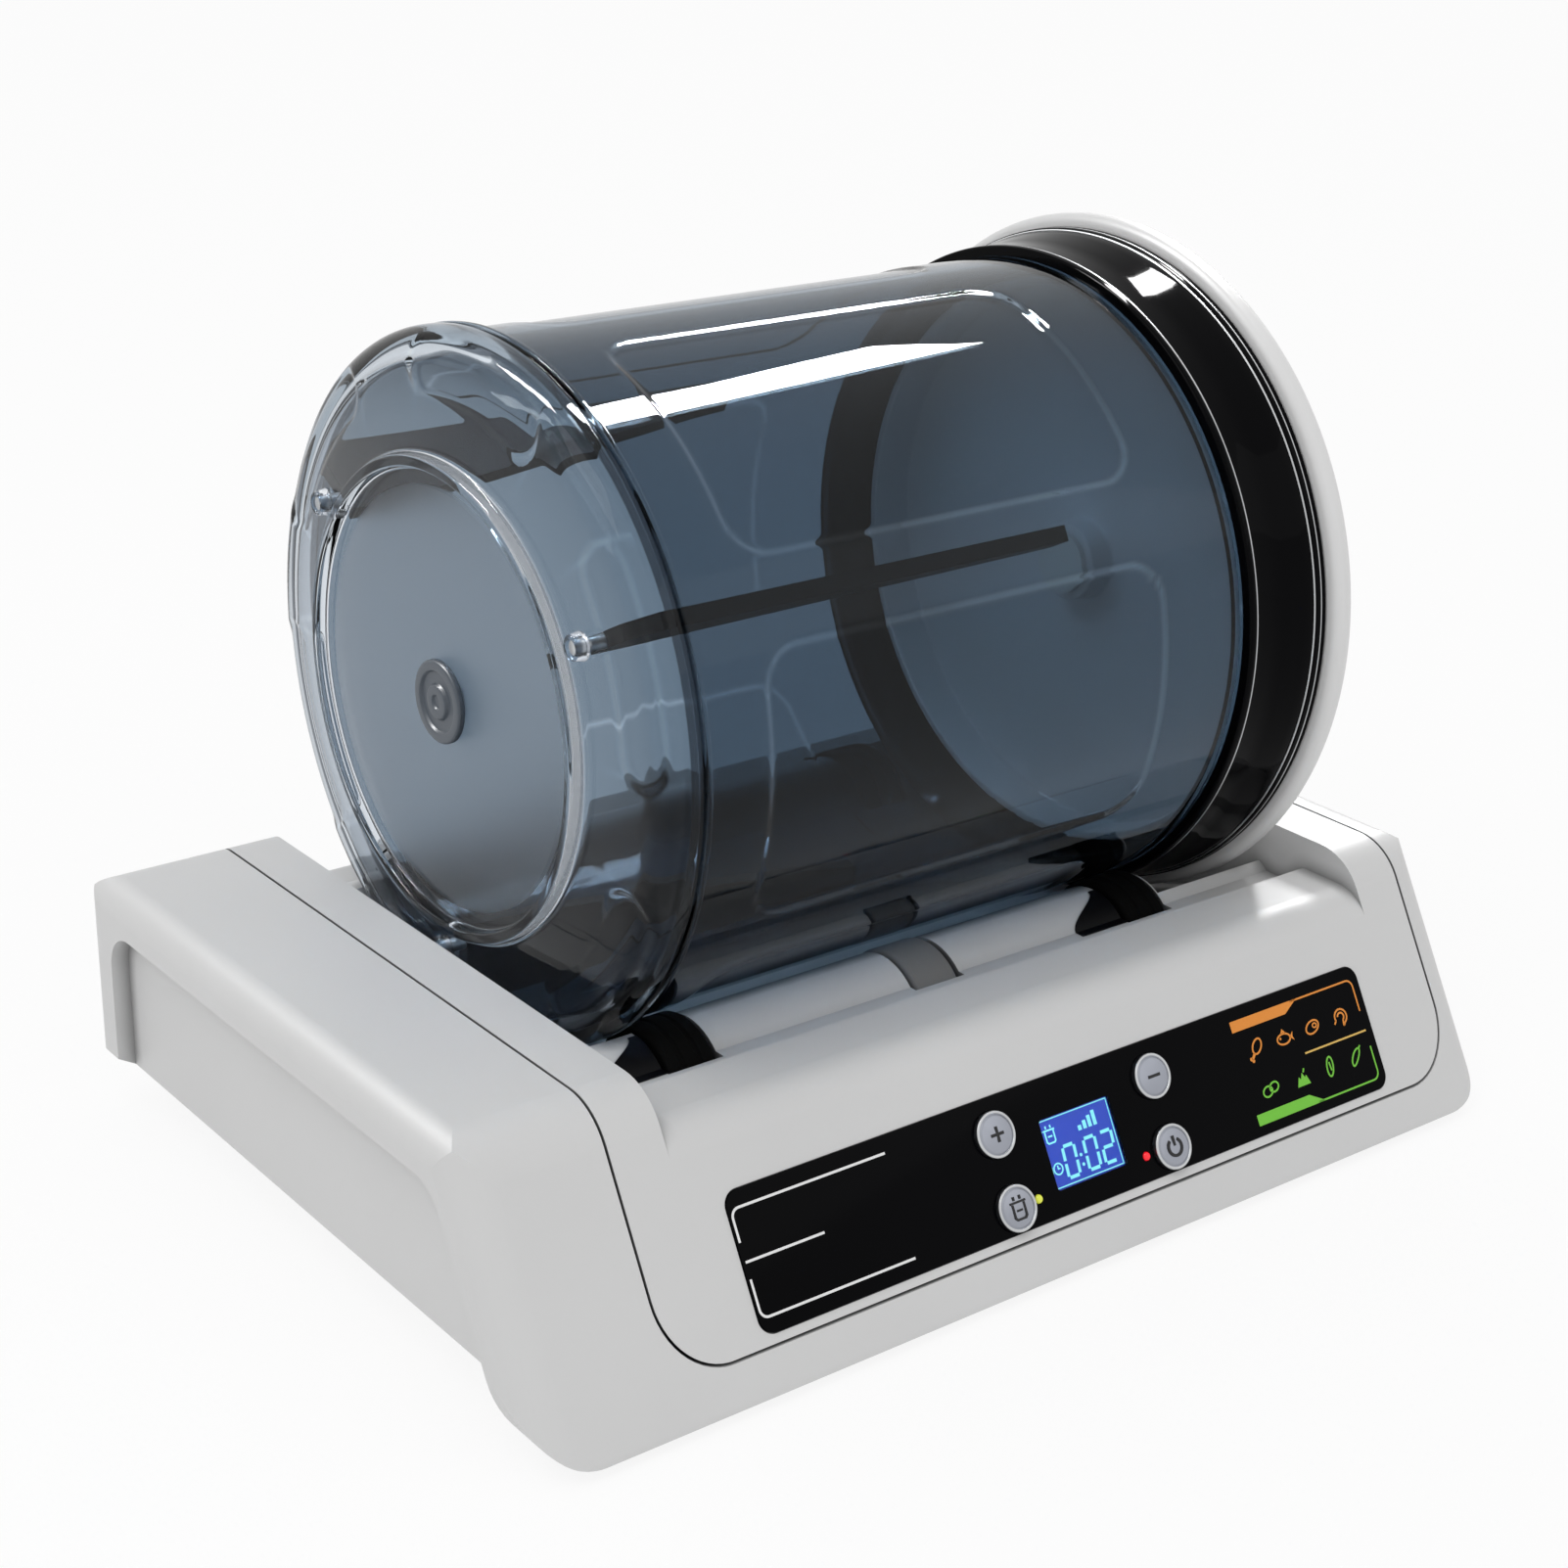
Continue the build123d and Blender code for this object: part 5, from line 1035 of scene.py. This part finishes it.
def roller_well_shades():
    """Dark sheets of painted shade in the openings beside the front rollers, wider towards the gutter."""
    y, z = ROLLER_SHAFTS["front"]
    foot = math.asin((GUTTER_Z - z) / COVER_RADIUS)
    top = math.radians(WELL_TOP_DEG)
    for side, x in ROLLER_XS.items():
        verts = []
        for step in range(WELL_STEPS + 1):
            share = step / WELL_STEPS
            angle = top + (foot - top) * share
            left = x - SLOT_HALF_WIDTH - WELL_NARROW - (WELL_WIDE - WELL_NARROW) * smooth(share)
            for edge, lift in WELL_RING:
                radius = COVER_RADIUS + lift
                place = (y - radius * math.cos(angle), z + radius * math.sin(angle))
                verts.append((left if edge else x - SLOT_HALF_WIDTH, *place))
        for edge, lift in WELL_RING:
            left = x - SLOT_HALF_WIDTH - WELL_WIDE
            end = y - COVER_RADIUS * math.cos(foot) - WELL_FLAT
            verts.append((left if edge else x - SLOT_HALF_WIDTH, end, GUTTER_Z + lift))
        count = len(WELL_RING)
        total = len(verts)
        # Faces that would join the last ring to the first give way to two ends
        faces = grid_faces(total // count, count, True)
        faces = [face for face in faces if max(face) - min(face) < 2 * count]
        faces += [tuple(range(count)), tuple(range(total - count, total))]
        new_piece(f"front_{side}_well_shade", "base", "black_plastic", verts, faces)


class Marks:
    """Thin raised marks on the front slope, gathered into one piece."""

    def __init__(self, low=PRINT_LOW, high=PRINT_HIGH):
        self.low = low
        self.high = high
        self.verts = []
        self.faces = []

    def _ring(self, points, height):
        start = len(self.verts)
        self.verts += [on_slope(x, t, height) for x, t in points]
        return range(start, start + len(points))

    def area(self, points):
        """Filled shape with an outline in (x, t)."""
        low = self._ring(points, self.low)
        high = self._ring(points, self.high)
        self.faces += [tuple(low), tuple(high)]
        for k in range(len(points)):
            after = (k + 1) % len(points)
            self.faces.append((low[k], low[after], high[after], high[k]))

    def line(self, points, width=ICON_WIDTH, closed=False):
        """Stroke of one width along points in (x, t)."""
        points = [Vector(p) for p in points]
        count = len(points)
        left = []
        right = []
        for k, here in enumerate(points):
            before = points[k - 1] if closed or k else here
            after = points[(k + 1) % count] if closed or k + 1 < count else here
            back = (here - before).normalized()
            ahead = (after - here).normalized()
            along = (back + ahead).normalized()
            stretch = max(along.dot(ahead if ahead.length else back), MITRE_LIMIT)
            side = Vector((-along.y, along.x)) * (width / 2 / stretch)
            left.append(here + side)
            right.append(here - side)
        rings = [self._ring(left, self.low), self._ring(left, self.high)]
        rings += [self._ring(right, self.high), self._ring(right, self.low)]
        for k in range(count if closed else count - 1):
            after = (k + 1) % count
            for one, other in zip(rings, rings[1:] + rings[:1]):
                self.faces.append((one[k], one[after], other[after], other[k]))
        if not closed:
            self.faces += [tuple(ring[0] for ring in rings), tuple(ring[-1] for ring in rings)]

    def piece(self, name, body, slot, look=None):
        """The marks as one piece, in an ink of their own."""
        return new_piece(name, body, slot, self.verts, self.faces, MARK_SHARP_DEG, look)


def arc(centre, radii, start, end, turn=0.0):
    """Points of an elliptic arc in (x, t), angles in degrees, the whole turned by an angle."""
    steps = max(MARK_ARC_LEAST, round(abs(end - start) / MARK_ARC_DEG))
    tilt = math.radians(turn)
    points = []
    for step in range(steps + 1):
        angle = math.radians(start + (end - start) * step / steps)
        u = radii[0] * math.cos(angle)
        v = radii[1] * math.sin(angle)
        points.append((
            centre[0] + u * math.cos(tilt) - v * math.sin(tilt),
            centre[1] + u * math.sin(tilt) + v * math.cos(tilt),
        ))
    return points


def loop(centre, radii, turn=0.0):
    """Points of a whole ellipse, without its repeated last point."""
    return arc(centre, radii, 0, 360, turn)[:-1]


def shifted(centre, points):
    """Points moved to a centre."""
    return [(centre[0] + x, centre[1] + t) for x, t in points]


def frame_lines():
    """White frame lines on the left of the panel."""
    marks = Marks()
    corner = FRAME_CORNER
    top = arc((FRAME_LEFT + corner, FRAME_TOP - corner), (corner, corner), 180, 90)
    bottom = arc((FRAME_LEFT + corner, FRAME_BOTTOM + corner), (corner, corner), 180, 270)
    top = [(FRAME_LEFT, FRAME_TOP - FRAME_TOP_DROP)] + top + [(FRAME_RIGHT, FRAME_TOP)]
    bottom = [(FRAME_LEFT, FRAME_BOTTOM + FRAME_BOTTOM_RISE)] + bottom + [(FRAME_RIGHT, FRAME_BOTTOM)]
    middle = [(FRAME_LEFT, FRAME_MIDDLE), (FRAME_LEFT + FRAME_MIDDLE_LENGTH, FRAME_MIDDLE)]
    for run in (top, bottom, middle):
        marks.line(run, FRAME_WIDTH)
    marks.piece("frame_lines", "base", "lid_grey", "ink_white")


def drumstick(marks, centre):
    """Poultry icon: a rounded leg on a bone."""
    marks.line(loop(shifted(centre, [(0.9, 0.7)])[0], (2.7, 1.7), 48), closed=True)
    marks.line(shifted(centre, [(-0.8, -1.2), (-2.4, -2.9)]), BONE_WIDTH)
    for place in shifted(centre, [(-2.9, -2.7), (-2.2, -3.4)]):
        marks.area(loop(place, (0.6, 0.6)))


def fish(marks, centre):
    """Fish icon."""
    marks.line(loop(centre, (2.9, 1.7)), closed=True)
    marks.area(shifted(centre, [(2.7, 0.0), (4.5, 1.5), (4.0, 0.0), (4.5, -1.5)]))
    marks.area(loop(shifted(centre, [(-1.4, 0.4)])[0], (0.4, 0.4)))
    marks.line(shifted(centre, [(-0.6, 1.7), (0.2, 2.8), (1.2, 1.6)]))


def steak(marks, centre):
    """Steak icon: a slice with its bone."""
    marks.line(loop(centre, (3.1, 1.9), 18), closed=True)
    marks.line(loop(shifted(centre, [(1.1, 0.3)])[0], (0.9, 0.7)), MARROW_WIDTH, True)


def prawn(marks, centre):
    """Prawn icon: a curled body with a tail."""
    marks.line(arc(centre, (2.7, 2.5), -60, 200))
    marks.line(arc(centre, (1.4, 1.3), -60, 170))
    for run in ([(1.3, -2.2), (0.4, -3.2)], [(0.7, -1.1), (0.4, -3.2)], [(-2.5, -0.8), (-3.5, -1.8)]):
        marks.line(shifted(centre, run))


def potatoes(marks, centre):
    """Root icon: two rounds side by side."""
    marks.line(loop(shifted(centre, [(-1.5, -0.3)])[0], (2.1, 1.6), 15), closed=True)
    marks.line(loop(shifted(centre, [(1.6, 0.5)])[0], (2.0, 1.5), 15), closed=True)


def greens(marks, centre):
    """Leaf vegetable icon: a toothed head with a stalk."""
    outline = [(-3.0, -2.2), (-1.6, 0.9), (-0.8, 0.0), (0.2, 2.0), (1.1, 0.2), (1.8, 0.9), (3.0, -2.2)]
    marks.area(shifted(centre, outline))
    marks.line(shifted(centre, [(0.9, 1.9), (1.6, 3.1)]))


def cucumber(marks, centre):
    """Cucumber icon."""
    marks.line(loop(centre, (1.4, 3.2), -12), closed=True)
    marks.line(shifted(centre, [(0.3, -1.4), (0.0, 1.5)]))


def chilli(marks, centre):
    """Chilli icon: a pointed pod with its stem."""
    upper = arc(centre, (3.2, 1.5), 0, 180, 50)
    lower = arc(centre, (3.2, 0.9), 180, 340, 50)
    marks.line(upper + lower[1:], closed=True)
    marks.line(shifted(centre, [(2.0, 2.4), (2.9, 3.3)]))


def food_block(name, slot, look, icons, tab_edge, inner_edge, line_end):
    """A row of food icons with its coloured tab and frame line."""
    marks = Marks()
    tip = TAB_RIGHT + TAB_SLANT
    marks.area([(TAB_LEFT, inner_edge), (TAB_LEFT, tab_edge), (tip, tab_edge), (TAB_RIGHT, inner_edge)])
    towards = math.copysign(1.0, inner_edge - tab_edge)
    line_t = tab_edge + towards * TAB_LINE_WIDTH / 2
    corner = FRAME_CORNER
    turn = arc((TAB_LINE_RIGHT - corner, line_t + towards * corner), (corner, towards * corner), -90, 0)
    marks.line([(tip - TAB_SLANT / 2, line_t)] + turn + [(TAB_LINE_RIGHT, line_end)], TAB_LINE_WIDTH)
    for icon, centre in icons:
        icon(marks, centre)
    marks.piece(name, "base", slot, look)


def food_icons():
    """Meat icons in orange over vegetable icons in green, with a divider."""
    meats = [
        (drumstick, (93.8, 43.4)),
        (fish, (106.8, 43.2)),
        (steak, (120.3, 43.6)),
        (prawn, (133.8, 43.5)),
    ]
    plants = [
        (potatoes, (95.3, 29.5)),
        (greens, (109.8, 29.0)),
        (cucumber, (122.9, 29.5)),
        (chilli, (135.4, 29.2)),
    ]
    food_block("meat_icons", "brass_pin", "ink_orange", meats, *MEAT_ROW)
    food_block("plant_icons", "led_green", "ink_green", plants, *PLANT_ROW)
    divider = Marks()
    divider.line(DIVIDER, TAB_LINE_WIDTH)
    divider.piece("icon_divider", "base", "brass_pin", "ink_gold")


def jar(marks, centre, size, width):
    """Vacuum jar icon: a jar, its lid, two drops of air and a level."""
    runs = [
        [(-2.0, 1.3), (-2.0, -2.4), (-1.4, -3.0), (1.4, -3.0), (2.0, -2.4), (2.0, 1.3)],
        [(-2.7, 1.7), (2.7, 1.7)],
        [(-1.1, 2.3), (-1.1, 3.4)],
        [(1.1, 2.3), (1.1, 3.4)],
        [(-1.0, -0.6), (1.0, -0.6)],
    ]
    for run in runs:
        marks.line(shifted(centre, [(x * size, t * size) for x, t in run]), width)


def button_marks():
    """Dark symbols on the four push buttons."""
    reach = BUTTON_MARK_REACH
    for body, (x, t) in BUTTONS.items():
        marks = Marks(BUTTON_MARK_LOW, BUTTON_MARK_HIGH)
        if body in ("plus", "minus"):
            marks.line([(x - reach, t), (x + reach, t)], BUTTON_MARK_WIDTH)
        if body == "plus":
            for side in (-1, 1):
                half = side * BUTTON_MARK_WIDTH / 2
                marks.line([(x, t + half), (x, t + side * reach)], BUTTON_MARK_WIDTH)
        if body == "vacuum":
            jar(marks, (x, t), BUTTON_JAR_SIZE, BUTTON_JAR_STROKE)
        if body == "power":
            ring = arc((x, t - POWER_DROP), (POWER_RADIUS, POWER_RADIUS), *POWER_ARC_DEG)
            marks.line(ring, BUTTON_MARK_WIDTH)
            marks.line([(x, t + height) for height in POWER_BAR], BUTTON_MARK_WIDTH)
        marks.piece(f"{body}_mark", body, "black_plastic", "ink_black")


def button_caps():
    """Silver push buttons with a turned rim and a shallow dome."""
    outline = rounded([
        (BUTTON_STEM_FOOT, 0),
        (BUTTON_STEM_FOOT, BUTTON_STEM, 0.3),
        (FLANGE_FOOT, BUTTON_STEM, 0.2),
        (FLANGE_FOOT, FLANGE_RADIUS, 0.2),
        (FLANGE_TOP, FLANGE_RADIUS, 0.2),
        (FLANGE_TOP, BUTTON_RADIUS, 0.1),
        (1.5, BUTTON_RADIUS, 0.5),
        (1.9, 6.5, 0.3),
        (1.7, 6.1, 0.2),
        (2.1, 5.6, 0.8),
        (BUTTON_TOP, 0),
    ])
    rim = rounded([
        (RIM_FOOT, RIM_INNER),
        (RIM_FOOT, BUTTON_RADIUS, 0.1),
        (RIM_TOP, BUTTON_RADIUS, 0.45),
        (RIM_TOP, RIM_INNER, 0.4),
        (RIM_FOOT + 0.1, RIM_INNER),
    ])
    for body, (x, t) in BUTTONS.items():
        place = above_slope(x, t)
        shape = lathe(outline, place, SMALL_SEGMENTS, False)
        cap = new_piece(f"{body}_cap", body, "silver_cap", *shape)
        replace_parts(cap, f"{body}_button")
        new_piece(f"{body}_rim", body, "steel", *lathe(rim, place, SMALL_SEGMENTS))


def digit(marks, name, x, t):
    """One seven-segment figure with its lower left corner at (x, t)."""
    half = DIGIT_HEIGHT / 2
    gap = DIGIT_STROKE * DIGIT_GAP
    runs = {
        "a": ((gap, 2 * half), (DIGIT_WIDTH - gap, 2 * half)),
        "b": ((DIGIT_WIDTH, half + gap), (DIGIT_WIDTH, 2 * half - gap)),
        "c": ((DIGIT_WIDTH, gap), (DIGIT_WIDTH, half - gap)),
        "d": ((gap, 0), (DIGIT_WIDTH - gap, 0)),
        "e": ((0, gap), (0, half - gap)),
        "f": ((0, half + gap), (0, 2 * half - gap)),
        "g": ((gap, half), (DIGIT_WIDTH - gap, half)),
    }
    for run in SEGMENTS[name]:
        marks.line([(x + px + pt * DIGIT_LEAN, t + pt) for px, pt in runs[run]], DIGIT_STROKE)


def box_corners(half_x, half_t):
    """Corners of a rectangle about the middle of the display."""
    return shifted(LCD, [(-half_x, -half_t), (half_x, -half_t), (half_x, half_t), (-half_x, half_t)])


def display():
    """Time, jar, clock and bars on the lit display, behind a thin window."""
    marks = Marks(DISPLAY_LOW, DISPLAY_HIGH)
    half_x = LCD_SIZE[0] / 2
    half_t = LCD_SIZE[1] / 2
    left = LCD[0] - half_x
    bottom = LCD[1] - half_t
    for name, offset in DIGITS:
        digit(marks, name, left + offset, bottom + DIGIT_BOTTOM)
    for height in COLON_TS:
        marks.area(loop((left + COLON_X, bottom + height), (COLON_RADIUS, COLON_RADIUS)))
    jar(marks, (left + JAR_PLACE[0], bottom + JAR_PLACE[1]), JAR_SIZE, JAR_STROKE)
    clock = (left + CLOCK_PLACE[0], bottom + CLOCK_PLACE[1])
    marks.line(loop(clock, (CLOCK_RADIUS, CLOCK_RADIUS)), CLOCK_STROKE, True)
    marks.line(shifted(clock, HANDS), HANDS_STROKE)
    for k in range(BAR_COUNT):
        foot = (left + BARS_PLACE[0] + BAR_PITCH * k, bottom + BARS_PLACE[1])
        top = BAR_FIRST + k
        marks.area(shifted(foot, [(0, 0), (BAR_WIDTH, 0), (BAR_WIDTH, top), (0, top)]))
    marks.line(box_corners(half_x - LCD_LINE, half_t - LCD_LINE), LCD_LINE, True)
    marks.piece("display_marks", "base", "display_blue", "ink_cyan")
    window = Marks(WINDOW_LOW, WINDOW_HIGH)
    window.area(box_corners(half_x, half_t))
    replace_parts(window.piece("display_window", "base", "clear_window"), "lcd_window")


materials = make_materials()
DRUM_PLACE = around_x(*DRUM_AXIS[1:])

make_camera()
make_world()
make_floor()
make_lights()
dress_nodes()
drum_skin()
drum_bosses()
hub_plug()
collar()
lid()
lid_grip()
tyres()
roller_well_shades()
button_caps()
button_marks()
frame_lines()
food_icons()
display()
scene.view_settings.view_transform = "Standard"
